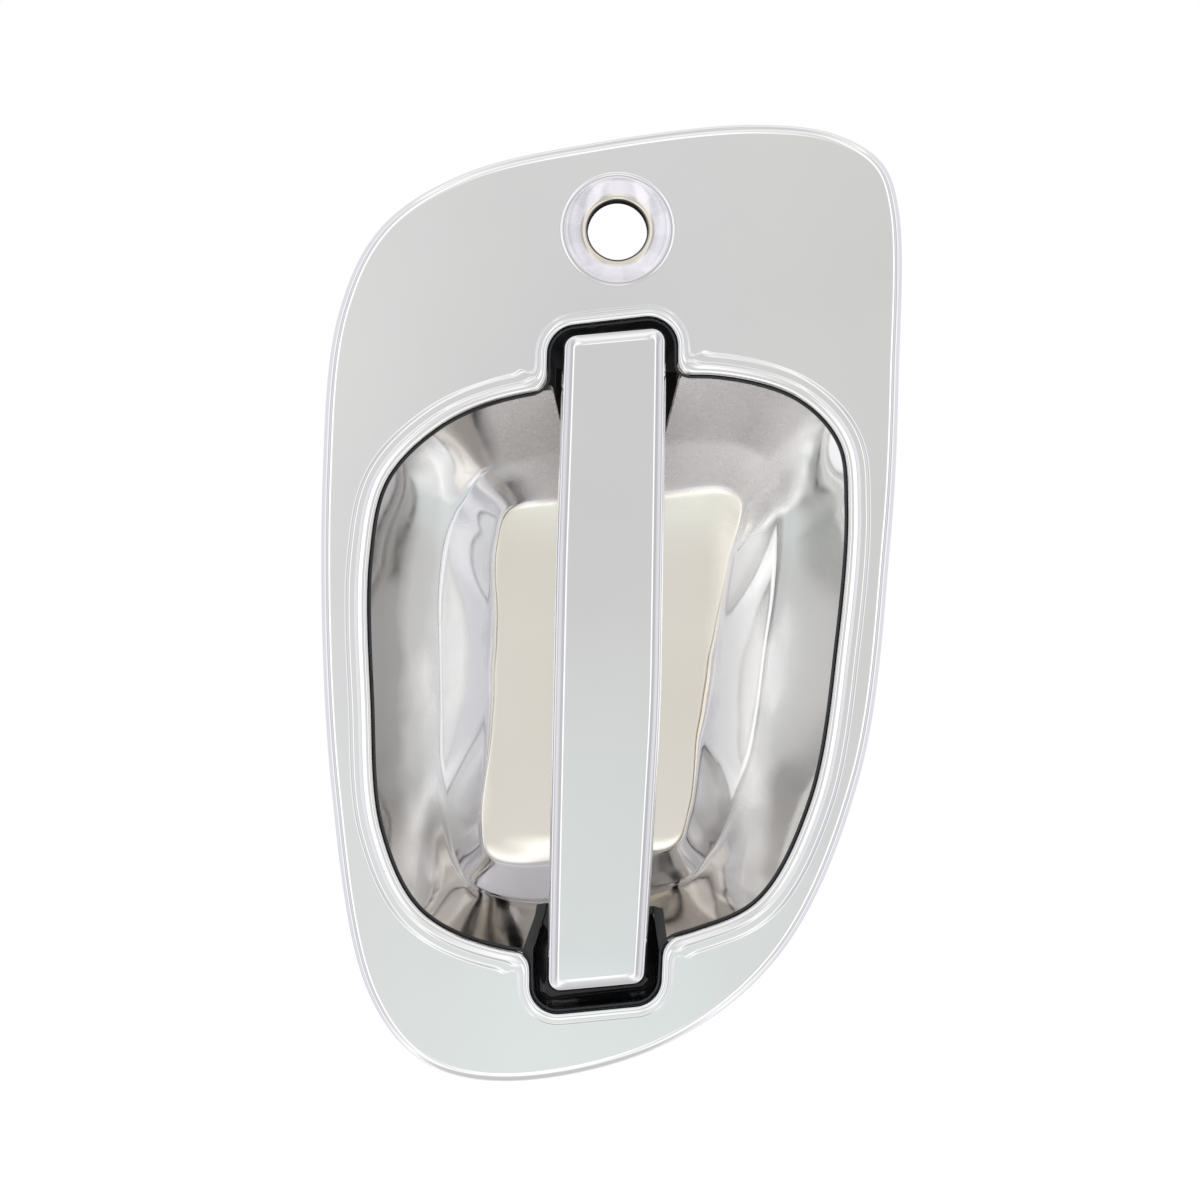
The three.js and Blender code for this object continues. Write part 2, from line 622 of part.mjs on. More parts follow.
function polar({ y, z }, radius, degrees) {
  const angle = THREE.MathUtils.degToRad(degrees);
  return [y + radius * Math.cos(angle), z + radius * Math.sin(angle)];
}

const crankTip = polar(crank, crank.input, crank.inputAngle - 90);
const rodEye = polar(crank, crank.output, crank.outputAngle);

function makeBellCrank() {
  const centre = [crank.y, crank.z];
  const eye = { y: rodEye[0], z: rodEye[1] };
  return joined(
    prismX(link(centre, 8.5, crankTip, crank.tip), -crankPlate.inputHalf, crankPlate.inputHalf),
    prismX(link(centre, crank.hub, rodEye, 4.5), crankPlate.outputFrom, crankPlate.outputTo),
    cylinderX(crank, crank.hub, crankPlate.outputFrom, crankPlate.inputHalf),
    cylinderX(crank, 5.2, 0, crankPlate.hubTo),
    cylinderX(crankPeg, crankPeg.radius, 2, crankPeg.to, 12),
  ).subtract(joined(
    cylinderX(crank, hinge.radius + pinFit, -30, 30),
    cylinderX(eye, 2.5, -30, 0, 16),
  ));
}

function makeRodClip() {
  const axis = { y: rodEye[0], z: rodEye[1] };
  const { outputFrom, outputTo } = crankPlate;
  return turnedX(axis, [
    [0, outputFrom - 4], [4.4, outputFrom - 4], [4.4, outputFrom - pieceGap], [2.2, outputFrom - pieceGap],
    [2.2, outputTo + pieceGap], [3.1, outputTo + pieceGap], [2.4, outputTo + 1.6], [0, outputTo + 1.6],
  ], 20);
}

// ---------------------------------------------------------------- seals, studs, nuts and screws

function makeGasket() {
  const outer = loopPrism(grown(outline, -0.4), baseY + pieceGap, 0);
  const bosses = studs.map((at) => cylinderY(at, stud.nut + 0.5, ahead, behind));
  return outer.subtract(joined(loopPrism(grown(outline, -5.2), ahead, behind), bosses));
}

function makeBumper([x, z]) {
  const front = leverY(0, z) + lever.thickness + pieceGap;
  const seat = boxFloor.y - pieceGap;
  const rear = boxFloor.y + boxFloor.thickness + pieceGap;
  return turnedY([x, z], [
    [0, front], [2.6, front], [3.8, front + 1.4], [3.8, seat], [1.8, seat], [1.8, rear],
    [3, rear], [2, rear + 1.6], [0, rear + 1.6],
  ], 20);
}

function makeStud([x, z]) {
  const front = faceY(x, z) + 3.6;
  return turnedY([x, z], [
    [0, front], [stud.radius, front], [stud.radius, stud.length - 1], [stud.radius - 1, stud.length],
    [0, stud.length],
  ]);
}

function makeNut([x, z]) {
  const from = 1.5;
  const hexagon = cylinderY([x, z], stud.nut, from, from + 5, 6);
  return hexagon.subtract(cylinderY([x, z], stud.radius + 0.25, 0, 20));
}

function makeCarrierScrew([x, z]) {
  const seat = plate.back + 0.2;
  return joined(
    turnedY([x, z], [
      [0, seat], [screw.head, seat], [screw.head, seat + 1.2], [2.4, seat + screw.headHeight],
      [0, seat + screw.headHeight],
    ], 20),
    cylinderY([x, z], screw.shank, faceY(x, z) + 4, seat + 0.5, 12),
  ).subtract(box(x - 2.2, x + 2.2, seat + 1.4, seat + 4, z - 0.45, z + 0.45));
}

// ---------------------------------------------------------------- assembly

place('bezel', makeBezel(), 'chrome');
place('pocket_cup', makeCup(), 'cupChrome');
place('carrier', makeCarrier(), 'nylon');
place('gasket', makeGasket(), 'rubber');
place('lever_cover', makeLeverCover(), 'chrome');
place('lever_core', makeLeverCore(), 'castChrome');
place('lever_screw_upper', leverScrew(leverScrewZ[0]), 'zinc');
place('lever_screw_lower', leverScrew(leverScrewZ[1]), 'zinc');
place('push_pin', cylinderX(pushPin, pushPin.radius, -8.4, 8.4), 'zinc');
place('hinge_bush_left', makeBush(-1), 'acetal');
place('hinge_bush_right', makeBush(1), 'acetal');

const reach = rail.outer + pieceGap;
place('hinge_pin', makePin(hinge, reach), 'zinc');
place('hinge_clip', makeClip(hinge, reach), 'springSteel');
place('crank_pin', makePin(crank, reach), 'zinc');
place('crank_clip', makeClip(crank, reach), 'springSteel');
place('lever_spring', torsionSpring({
  axis: hinge, radius: 5.6, wire: 1.4, turns: 3.75, from: 10.6, to: 16.4, legs: [10, 10],
}), 'springSteel');
place('bell_crank', makeBellCrank(), 'zinc');
place('crank_spring', torsionSpring({
  axis: crank, radius: 6.6, wire: 1.4, turns: 4.25, from: 4.8, to: 14.4, legs: [9, 10],
}), 'springSteel');
place('rod_clip', makeRodClip(), 'acetal');

bumperSpots().forEach((at, i) => place(['bumper_left', 'bumper_right'][i], makeBumper(at), 'rubber'));
studs.forEach((at, i) => {
  place(`stud_${i + 1}`, makeStud(at), 'zinc');
  place(`nut_${i + 1}`, makeNut(at), 'zinc');
});
carrierScrews.forEach((at, i) => place(`carrier_screw_${i + 1}`, makeCarrierScrew(at), 'zinc'));

export default root;
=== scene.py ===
# Truck cab door handle: the looks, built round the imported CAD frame.
# Shapes are worked out in millimetres in the frame's own axes (X right, Z up, Y into the door)
# and become metres when a mesh is made. The door skin is the plane y = 0.
import math

import bmesh
import bpy
import numpy as np
from mathutils import Matrix, Vector
from mathutils.geometry import tessellate_polygon


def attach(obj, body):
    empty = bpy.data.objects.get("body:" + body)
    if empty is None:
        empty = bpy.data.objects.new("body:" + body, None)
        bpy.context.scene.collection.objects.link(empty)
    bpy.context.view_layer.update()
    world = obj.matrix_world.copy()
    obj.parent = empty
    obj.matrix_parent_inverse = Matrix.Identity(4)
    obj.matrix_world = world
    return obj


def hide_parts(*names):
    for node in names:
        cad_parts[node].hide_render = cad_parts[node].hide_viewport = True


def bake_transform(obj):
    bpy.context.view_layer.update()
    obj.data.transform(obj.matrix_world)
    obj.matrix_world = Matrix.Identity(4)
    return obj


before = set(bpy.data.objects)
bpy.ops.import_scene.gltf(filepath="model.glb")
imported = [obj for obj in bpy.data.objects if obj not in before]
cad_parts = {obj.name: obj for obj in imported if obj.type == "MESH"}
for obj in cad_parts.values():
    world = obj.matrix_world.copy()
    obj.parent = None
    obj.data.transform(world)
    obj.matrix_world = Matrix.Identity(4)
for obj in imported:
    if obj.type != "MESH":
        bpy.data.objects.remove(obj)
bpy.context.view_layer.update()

MM = 0.001

# ------------------------------------------------------------------ driving dimensions (mm)

CROWN = dict(y=-17.0, z=15.0, rx=750.0, rz=1400.0)     # front face of the bezel
WALL = 2.4
EDGE_ROLL = 3.0
BASE_Y = -1.8
LIP_DEPTH = 4.0
LIP_ROLL = 1.35
BEAD = dict(height=1.4, step=0.6, width=6.6)
NOTCH_BLEND = 5.0            # how far the bead's corners at the notches are blended

# foot: how much shallower the cup is there; floor: its share of the way out; facet: the inner one's slope.
CUP = dict(drop=4.3, depth=36.0, foot=2.5, floor=0.5, facet=0.72, wall=2.0, flange=5.0)
CHANNEL_FLOOR = 3.0
LEVER = dict(proud=2.7, cross=250.0, depth=9.0, wall=1.6)
LOCK = dict(x=-1.0, z=127.0, hole=8.7, dish=15.7, rim=16.8, throat=9.9, depth=2.9, boss=11.0, back=1.5)

OUTLINE = [
    (-47, 142), (-7, 152.7), (39.4, 159.3), (62.6, 157.1), (75.9, 149.3), (81, 136.2), (82.3, 85.4),
    (81.2, 39), (74, -30.9), (52.4, -82.9), (18.4, -110.9), (-27.7, -122.4), (-51.1, -117.1),
    (-67, -98), (-79.5, -38.3), (-84.8, 51.4), (-81.5, 101), (-70, 126),
]
BOWL = [
    (-34.5, 76.2), (0, 82.5), (30, 85.2), (53.3, 79.3), (65.5, 67), (68.4, 48), (66.7, 9.5),
    (60.3, -37.1), (46.1, -66.5), (28.9, -75.7), (0, -82.5), (-28.9, -83), (-52.4, -72.9),
    (-64.7, -49.5), (-68.7, -11.9), (-70.3, 28.7), (-66, 52), (-52, 67.5),
]
FLOOR = [
    (-36.5, -48), (-34.6, -20), (-34, 10), (-34.8, 34), (-31.5, 44.5), (-14, 48.5), (10, 50.5), (31, 53.5),
    (38.5, 49.5), (36, 32), (31.5, 8), (28, -20), (26, -42), (21.5, -53.5), (0, -57), (-24, -60.5),
    (-34, -57.5),
]
# Corners with their fillet radius.
TOP_NOTCH = [(-20.2, 97.5, 8.5), (17.3, 102.9, 8.5), (17.8, 60, 2), (-20, 60, 2)]
BOTTOM_NOTCH = [(-21, -60, 2), (18.3, -60, 2), (18, -97.6, 8), (-19.6, -102.4, 8)]
LEVER_CORNERS = [
    (-15.8, 95.6, 4.2), (14.1, 99.2, 4.2), (15.8, -10, 600), (13.5, -92.1, 3.8), (-15, -95.6, 3.8),
    (-16.1, 30, 600),
]

# ------------------------------------------------------------------ outlines


def resampled(line, count, closed=True):
    """Points at equal steps of length along a polyline."""
    if closed:
        line = np.vstack([line, line[:1]])
    length = np.r_[0, np.cumsum(np.linalg.norm(np.diff(line, axis=0), axis=1))]
    at = np.linspace(0, length[-1], count, endpoint=not closed)
    return np.column_stack([np.interp(at, length, line[:, k]) for k in (0, 1)])


def smooth_loop(points, count):
    """A closed centripetal Catmull-Rom curve through the points."""
    p = np.array(points, float)
    t = np.linspace(0, 1, 60, endpoint=False)[:, None]
    pieces = []
    for i in range(len(p)):
        p0, p1, p2, p3 = p[i - 1], p[i], p[(i + 1) % len(p)], p[(i + 2) % len(p)]
        d0, d1, d2 = (np.linalg.norm(b - a) ** 0.5 for a, b in ((p0, p1), (p1, p2), (p2, p3)))
        m1 = ((p1 - p0) / d0 - (p2 - p0) / (d0 + d1) + (p2 - p1) / d1) * d1
        m2 = ((p2 - p1) / d1 - (p3 - p1) / (d1 + d2) + (p3 - p2) / d2) * d1
        pieces.append(
            p1 * (2 * t**3 - 3 * t**2 + 1) + m1 * (t**3 - 2 * t**2 + t)
            + p2 * (3 * t**2 - 2 * t**3) + m2 * (t**3 - t**2)
        )
    return resampled(np.concatenate(pieces), count)


def fillet(before, here, after, radius, count):
    """Points of the arc that rounds a corner."""
    here = np.array(here, float)
    before, after = np.array(before) - here, np.array(after) - here
    before, after = before / np.linalg.norm(before), after / np.linalg.norm(after)
    half = math.acos(before @ after) / 2
    bisector = (before + after) / np.linalg.norm(before + after)
    middle = here + bisector * radius / math.sin(half)
    start = here + before * radius / math.tan(half) - middle
    end = here + after * radius / math.tan(half) - middle
    turn = math.atan2(start[0] * end[1] - start[1] * end[0], start @ end)
    out = []
    for a in np.linspace(0, turn, count):
        spin = np.array([[math.cos(a), -math.sin(a)], [math.sin(a), math.cos(a)]])
        out.append(middle + spin @ start)
    return out


def filleted_loop(corners, count):
    """A polygon with a fillet at each corner, given as (x, z, radius)."""
    places = [corner[:2] for corner in corners]
    out = []
    for i, (x, z, radius) in enumerate(corners):
        out += fillet(places[i - 1], (x, z), places[(i + 1) % len(corners)], radius, 40)
    return resampled(np.array(out), count)


def filleted_path(corners, count):
    """An open polyline with a fillet at each inner corner, given as (x, z, radius)."""
    places = [corner[:2] for corner in corners]
    out = [places[0]]
    for before, corner, after in zip(places, corners[1:], places[2:]):
        out += fillet(before, corner[:2], after, corner[2], 12)
    return resampled(np.array([*out, places[-1]], float), count, closed=False)


class Loop:
    """A closed smooth outline that tells how far outside it a point lies, and in which direction."""

    COARSE = 160
    STEP = 28

    def __init__(self, make, shape):
        self.points = make(shape, self.COARSE * self.STEP)
        along = np.roll(self.points, -1, 0) - np.roll(self.points, 1, 0)
        area = np.sum(self.points[:, 0] * np.roll(self.points[:, 1], -1)
                      - self.points[:, 1] * np.roll(self.points[:, 0], -1))
        out = np.column_stack([along[:, 1], -along[:, 0]]) * np.sign(area)
        self.normals = out / np.linalg.norm(out, axis=1)[:, None]

    def distance(self, q):
        """Distance outside the outline (negative inside) and its gradient, at each point of q."""
        count = len(self.points)
        far = np.empty(len(q))
        way = np.empty((len(q), 2))
        for s in range(0, len(q), 4000):
            part = q[s:s + 4000]
            near = ((part[:, None] - self.points[::self.STEP]) ** 2).sum(-1).argmin(1) * self.STEP
            window = (near[:, None] + np.arange(-self.STEP, self.STEP + 1)) % count
            best = ((part[:, None] - self.points[window]) ** 2).sum(-1).argmin(1)
            best = window[np.arange(len(part)), best]
            far[s:s + 4000] = ((part - self.points[best]) * self.normals[best]).sum(1)
            way[s:s + 4000] = self.normals[best]
        return far, way

    def ring(self, count):
        """Points at equal steps along the outline, with their outward normals."""
        at = (np.arange(count) * len(self.points)) // count
        return self.points[at], self.normals[at]


def blended(a, b, width):
    """The nearer of two distance fields, with their crease rounded over a width."""
    (da, ga), (db, gb) = a, b
    share = np.clip(width - np.abs(da - db), 0, None) / width
    value = np.minimum(da, db) - share**2 * width / 4
    of_a = np.where(da < db, 1 - share / 2, share / 2)[:, None]
    return value, of_a * ga + (1 - of_a) * gb


outline = Loop(smooth_loop, OUTLINE)
bowl = Loop(smooth_loop, BOWL)
top_notch = Loop(filleted_loop, TOP_NOTCH)
bottom_notch = Loop(filleted_loop, BOTTOM_NOTCH)
lever_loop = Loop(filleted_loop, LEVER_CORNERS)


def pocket(q):
    """Distance outside the pocket as seen from the front, and its gradient."""
    notches = blended(top_notch.distance(q), bottom_notch.distance(q), 0.01)
    return blended(bowl.distance(q), notches, NOTCH_BLEND)


# ------------------------------------------------------------------ curved faces


def step(x, a, b):
    """Rises smoothly from 0 at a to 1 at b."""
    t = np.clip((x - a) / (b - a), 0, 1)
    return t * t * (3 - 2 * t)


def slope(function, x):
    return (function(x + 1e-3) - function(x - 1e-3)) / 2e-3


def dome(q):
    """Depth of the bezel's front face and its gradient."""
    x, z = q[:, 0], q[:, 1] - CROWN["z"]
    value = CROWN["y"] + x**2 / (2 * CROWN["rx"]) + z**2 / (2 * CROWN["rz"])
    return value, np.column_stack([x / CROWN["rx"], z / CROWN["rz"]])


def bead_height(f):
    """Height of the raised bead at a distance f from the pocket's edge."""
    inner = BEAD["height"] - 0.16 * step(f, 1.35, 2.7)
    return (inner - BEAD["step"]) * (1 - step(f, 2.7, 3.6)) + BEAD["step"] * (1 - step(f, 5.2, BEAD["width"]))


def lock_depth(r):
    """Depth of the dish round the lock hole below the face, at a radius r."""
    ring = (1 - step(r, LOCK["dish"] + 0.2, LOCK["rim"])) * step(r, LOCK["dish"] - 1.6, LOCK["dish"])
    cone = np.clip((LOCK["dish"] - 0.4 - r) / (LOCK["dish"] - 0.4 - LOCK["throat"]), 0, 1)
    curve = cone * (1.25 - 0.25 * cone)
    return LOCK["depth"] * curve - 0.22 * ring


def beaded(q):
    """Distance across the bead; it is counted faster round the notches, where the bead is narrower."""
    f, gradient = pocket(q)
    notches = np.minimum(top_notch.distance(q)[0], bottom_notch.distance(q)[0])
    pace = np.where(f > LIP_ROLL, 1 + 1.3 * step(bowl.distance(q)[0] - notches, -1.0, 2.5), 1)
    return np.minimum(f, LIP_ROLL) + np.clip(f - LIP_ROLL, 0, None) * pace, gradient * pace[:, None]


def facing(gradient):
    """Normals towards the front of a face whose depth has this gradient."""
    n = np.column_stack([gradient[:, 0], -np.ones(len(gradient)), gradient[:, 1]])
    return n / np.linalg.norm(n, axis=1)[:, None]


def sideways(direction):
    """Unit normals in the face plane."""
    n = np.column_stack([direction[:, 0], np.zeros(len(direction)), direction[:, 1]])
    return n / np.linalg.norm(n, axis=1)[:, None]


def mixed(a, b, angle):
    n = a * math.cos(angle) + b * math.sin(angle)
    return n / np.linalg.norm(n, axis=1)[:, None]


def at_depth(q, y):
    return np.column_stack([q[:, 0], np.broadcast_to(y, len(q)), q[:, 1]])


# ------------------------------------------------------------------ meshes


class Skin:
    """Rings of points joined by bands of quads, each corner with its own normal."""

    def __init__(self):
        self.points = []
        self.faces = []
        self.normals = []

    def ring(self, points):
        start = sum(len(p) for p in self.points)
        self.points.append(np.asarray(points, float))
        return np.arange(start, start + len(points))

    def add(self, faces, normals):
        """Adds faces (index rows) with a normal per corner, turned to face along the normals."""
        cloud = np.concatenate(self.points)
        corners = cloud[faces]
        if faces.shape[1] == 4:
            flat = np.cross(corners[:, 2] - corners[:, 0], corners[:, 3] - corners[:, 1])
        else:
            flat = np.cross(corners[:, 1] - corners[:, 0], corners[:, 2] - corners[:, 0])
        if (flat * normals.mean(1)).sum() < 0:
            faces, normals = faces[:, ::-1], normals[:, ::-1]
        self.faces.extend(faces.tolist())
        self.normals.append(normals.reshape(-1, 3))

    def band(self, a, b, na, nb, keep=None):
        """Quads between two closed rings; keep says which of them are made."""
        a2, b2 = np.roll(a, -1), np.roll(b, -1)
        faces = np.column_stack([a, b, b2, a2])
        normals = np.stack([na, nb, np.roll(nb, -1, 0), np.roll(na, -1, 0)], 1)
        if keep is not None:
            faces, normals = faces[keep], normals[keep]
        self.add(faces, normals)

    def loft(self, rings, keep=None):
        """Bands through a row of rings, each given with its normals."""
        for (a, na), (b, nb) in zip(rings, rings[1:]):
            self.band(a, b, na, nb, keep)

    def cap(self, ring, normals):
        """Fills a ring with triangles, as seen from the front."""
        cloud = np.concatenate(self.points)[ring]
        flat = [Vector((p[0], p[2], 0)) for p in cloud]
        triangles = np.array(tessellate_polygon([flat]))
        self.add(ring[triangles], normals[triangles])

    def object(self, name, body, material, replaces, slot):
        mesh = bpy.data.meshes.new(name)
        mesh.from_pydata((np.concatenate(self.points) * MM).tolist(), [], self.faces)
        mesh.polygons.foreach_set("use_smooth", [True] * len(mesh.polygons))
        mesh.normals_split_custom_set(np.concatenate(self.normals).tolist())
        return finished(mesh, name, body, material, replaces)


def finished(mesh, name, body, material, replaces):
    """A piece in its place, attached to its body if it has one."""
    piece = bpy.data.objects.new(name, mesh)
    bpy.context.collection.objects.link(piece)
    mesh.materials.clear()
    mesh.materials.append(material)
    if body:
        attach(piece, body)
    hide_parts(*replaces)
    return piece


# ------------------------------------------------------------------ materials


def material(name, color, metallic, roughness):
    m = bpy.data.materials.new(name)
    m.use_nodes = True
    shader = m.node_tree.nodes["Principled BSDF"]
    shader.inputs["Base Color"].default_value = (*color, 1)
    shader.inputs["Metallic"].default_value = metallic
    shader.inputs["Roughness"].default_value = roughness
    return m, m.node_tree, shader


def noise(tree, scale, detail=2.0, rough=0.5):
    place = tree.nodes.new("ShaderNodeTexCoord")
    node = tree.nodes.new("ShaderNodeTexNoise")
    node.inputs["Scale"].default_value = scale
    node.inputs["Detail"].default_value = detail
    node.inputs["Roughness"].default_value = rough
    tree.links.new(place.outputs["Object"], node.inputs["Vector"])
    return node.outputs["Fac"]


def ranged(tree, value, low, high, start=0.0, end=1.0):
    node = tree.nodes.new("ShaderNodeMapRange")
    node.inputs["From Min"].default_value = start
    node.inputs["From Max"].default_value = end
    node.inputs["To Min"].default_value = low
    node.inputs["To Max"].default_value = high
    tree.links.new(value, node.inputs["Value"])
    return node.outputs["Result"]


def bumped(tree, shader, height, strength, distance):
    node = tree.nodes.new("ShaderNodeBump")
    node.inputs["Strength"].default_value = strength
    node.inputs["Distance"].default_value = distance
    tree.links.new(height, node.inputs["Height"])
    tree.links.new(node.outputs["Normal"], shader.inputs["Normal"])


def tinted(tree, shader, value, dark, light):
    node = tree.nodes.new("ShaderNodeValToRGB")
    node.color_ramp.elements[0].color = (*dark, 1)
    node.color_ramp.elements[1].color = (*light, 1)
    node.color_ramp.elements[0].position = 0.3
    node.color_ramp.elements[1].position = 0.7
    tree.links.new(value, node.inputs["Fac"])
    tree.links.new(node.outputs["Color"], shader.inputs["Base Color"])


def chrome(name, dark, light, roughness):
    """Bright plate: a faint change of tone and polishing haze."""
    m, tree, shader = material(name, light, 1.0, roughness)
    tinted(tree, shader, noise(tree, 14, 3), dark, light)
    haze = ranged(tree, noise(tree, 260, 4, 0.6), roughness * 0.6, roughness * 1.5, 0.3, 0.7)
    tree.links.new(haze, shader.inputs["Roughness"])
    return m


def math_node(tree, kind, a, b=None):
    node = tree.nodes.new("ShaderNodeMath")
    node.operation = kind
    for socket, value in zip(node.inputs, (a, b)):
        if isinstance(value, (int, float)):
            socket.default_value = value
        elif value is not None:
            tree.links.new(value, socket)
    return node.outputs[0]


def ramp(tree, value, low, high, stops):
    """A colour ramp over a range of values; each stop is (value, colour)."""
    node = tree.nodes.new("ShaderNodeValToRGB")
    node.color_ramp.interpolation = "LINEAR"
    elements = node.color_ramp.elements
    while len(elements) < len(stops):
        elements.new(0.5)
    for element, (at, color) in zip(elements, stops):
        element.position = (at - low) / (high - low)
        element.color = (*color, 1)
    tree.links.new(ranged(tree, value, 0, 1, low, high), node.inputs["Fac"])
    return node.outputs["Color"]


def mix_colors(tree, share, a, b, kind="MIX"):
    node = tree.nodes.new("ShaderNodeMix")
    node.data_type = "RGBA"
    node.blend_type = kind
    factor, first, second = (node.inputs[k] for k in (0, 6, 7))
    for socket, value in ((factor, share), (first, a), (second, b)):
        if isinstance(value, tuple):
            socket.default_value = (*value, 1)
        elif isinstance(value, float):
            socket.default_value = value
        else:
            tree.links.new(value, socket)
    return node.outputs[2]


def axes_of(tree, kind):
    """The three parts of a texture coordinate."""
    place = tree.nodes.new("ShaderNodeTexCoord")
    split = tree.nodes.new("ShaderNodeSeparateXYZ")
    tree.links.new(place.outputs[kind], split.inputs[0])
    return split.outputs


def product(tree, *values):
    out = values[0]
    for value in values[1:]:
        out = math_node(tree, "MULTIPLY", out, value)
    return out


def cup_finish():
    """Chrome over drawn steel: painted shade on the left of the outer wall and painted light on its right,
    darker towards the bottom, greyer and duller in a band at the top, a painted warm reflection on the open
    floor and a painted pale sheen in strips beside the lever.
    """
    m, tree, shader = material("cup_chrome", (0.8, 0.8, 0.8), 1.0, 0.035)
    x, _, z = axes_of(tree, "Object")
    cloud = noise(tree, 45, 2)
    shifted = math_node(tree, "ADD", x, ranged(tree, cloud, -0.002, 0.002, 0.3, 0.7))
    # Painted shade and light across the wall: dark on the left outer wall, bright on the right, a faint
    # lavender tone between.
    wall = ramp(tree, shifted, -0.07, 0.07, [
        (-0.066, (0.47, 0.455, 0.45)), (-0.061, (0.52, 0.505, 0.5)), (-0.057, (0.78, 0.77, 0.77)),
        (-0.05, (0.86, 0.86, 0.865)), (-0.036, (0.79, 0.79, 0.82)), (0.036, (0.86, 0.85, 0.85)),
        (0.046, (0.95, 0.95, 0.94)), (0.068, (0.97, 0.97, 0.965))])
    low = math_node(tree, "ADD", z, ranged(tree, cloud, -0.006, 0.006, 0.3, 0.7))
    foot = ramp(tree, low, -0.08, 0.08, [
        (-0.07, (0.6, 0.585, 0.575)), (-0.056, (0.7, 0.69, 0.68)), (-0.03, (0.97, 0.97, 0.97)),
        (0.0, (1, 1, 1))])
    wall = mix_colors(tree, 1.0, wall, foot, "MULTIPLY")
    top = product(tree, ranged(tree, low, 0, 1, 0.046, 0.054), ranged(tree, shifted, 0, 1, -0.04, -0.034),
                  ranged(tree, shifted, 1, 0, 0.05, 0.06))
    wall = mix_colors(tree, top, wall, (0.68, 0.66, 0.655))
    # Painted reflection: the level floor is tinted warm cream, the colour it mirrors from the lever's back.
    level = ranged(tree, axes_of(tree, "Normal")["Y"], 1, 0, -0.972, -0.93)
    floor_painted_reflection = ramp(tree, noise(tree, 22, 1), 0, 1, [
        (0.3, (0.955, 0.905, 0.815)), (0.7, (0.985, 0.94, 0.86))])
    tree.links.new(mix_colors(tree, level, wall, floor_painted_reflection), shader.inputs["Base Color"])
    haze = ranged(tree, noise(tree, 300, 4, 0.6), 0.05, 0.09, 0.3, 0.7)
    tree.links.new(math_node(tree, "ADD", haze, ranged(tree, top, 0, 0.2)), shader.inputs["Roughness"])
    # Painted sheen: two upright strips beside the lever are made partly diffuse, so they glow pale with their
    # own colour.
    beside = ramp(tree, shifted, -0.06, 0.06, [
        (-0.053, (0, 0, 0)), (-0.047, (1, 1, 1)), (-0.037, (1, 1, 1)), (-0.033, (0, 0, 0)),
        (0.028, (0, 0, 0)), (0.033, (1, 1, 1)), (0.044, (1, 1, 1)), (0.05, (0, 0, 0))])
    painted_sheen_strips = product(tree, beside, ranged(tree, low, 0, 0.45, -0.052, -0.04),
                   ranged(tree, low, 1, 0, 0.038, 0.048))
    tree.links.new(math_node(tree, "SUBTRACT", ranged(tree, top, 1, 0.5), painted_sheen_strips), shader.inputs["Metallic"])
    return m


def plate_finish():
    """Bright plate, with painted light and shade round the lock hole: a painted warm reflection on its lip,
    painted lavender reflection and streaks in the dish, a painted shadow ring round the dish and painted
    shade inside the hole.
    """
    m, tree, shader = material("plate_chrome", (0.91, 0.915, 0.91), 1.0, 0.035)
    tone = ramp(tree, noise(tree, 14, 3), 0, 1, [(0.3, (0.86, 0.865, 0.865)), (0.7, (0.91, 0.915, 0.91))])
    place = axes_of(tree, "Object")
    x, z = (math_node(tree, "SUBTRACT", place[axis], LOCK[axis.lower()] * MM) for axis in "XZ")
    radius = math_node(tree, "SQRT", math_node(tree, "ADD", product(tree, x, x), product(tree, z, z)))
    # Painted light and shade by radius from the lock: near black inside the hole, a painted warm reflection
    # on its lip, painted lavender reflection across the dish and a painted grey shadow ring round its rim.
    lip = ramp(tree, radius, 0.008, 0.018, [
        (0.00875, (0.03, 0.028, 0.026)), (0.0091, (0.2, 0.18, 0.16)), (0.0093, (0.84, 0.78, 0.69)),
        (0.0103, (0.8, 0.75, 0.67)), (0.0108, (0.745, 0.725, 0.77)), (0.0152, (0.745, 0.725, 0.77)),
        (0.0157, (0.8, 0.78, 0.81)), (0.0164, (0.9, 0.89, 0.91)), (0.0171, (1, 1, 1))])
    dish = product(tree, ranged(tree, radius, 0, 1, 0.0104, 0.0111),
                   ranged(tree, radius, 1, 0, 0.0151, 0.0156))
    # Painted reflections: soft radial streaks across the dish.
    turn = math_node(tree, "MULTIPLY", math_node(tree, "ARCTAN2", z, x), 7)
    dish_painted_streaks = ranged(tree, math_node(tree, "SINE", math_node(tree, "ADD", turn, 0.6)), 0.92, 1, -0.2, 0.2)
    lip = mix_colors(tree, 1.0, lip, mix_colors(tree, dish, (1.0, 1.0, 1.0), dish_painted_streaks), "MULTIPLY")
    tree.links.new(mix_colors(tree, 1.0, tone, lip, "MULTIPLY"), shader.inputs["Base Color"])
    # Painted shade inside the hole: its wall loses all reflection and stays near black; the dish is made
    # partly diffuse to show its painted lavender.
    lit = ranged(tree, radius, 0, 1, 0.0088, 0.0091)
    tree.links.new(product(tree, ranged(tree, dish, 1, 0.45), lit), shader.inputs["Metallic"])
    tree.links.new(math_node(tree, "MULTIPLY", lit, 0.5), shader.inputs["Specular IOR Level"])
    haze = ranged(tree, noise(tree, 260, 4, 0.6), 0.021, 0.053, 0.3, 0.7)
    tree.links.new(haze, shader.inputs["Roughness"])
    return m


def coated(name, dark, light, metallic, roughness, scale, grain, depth):
    """A plain finish with a cloudy tone, uneven gloss and a fine grain."""
    m, tree, shader = material(name, light, metallic, roughness)
    tinted(tree, shader, noise(tree, scale, 3), dark, light)
    gloss = ranged(tree, noise(tree, scale * 3, 4, 0.6), roughness * 0.75, min(1, roughness * 1.25), 0.3, 0.7)
    tree.links.new(gloss, shader.inputs["Roughness"])
    bumped(tree, shader, noise(tree, grain, 2), 0.5, depth)
    return m


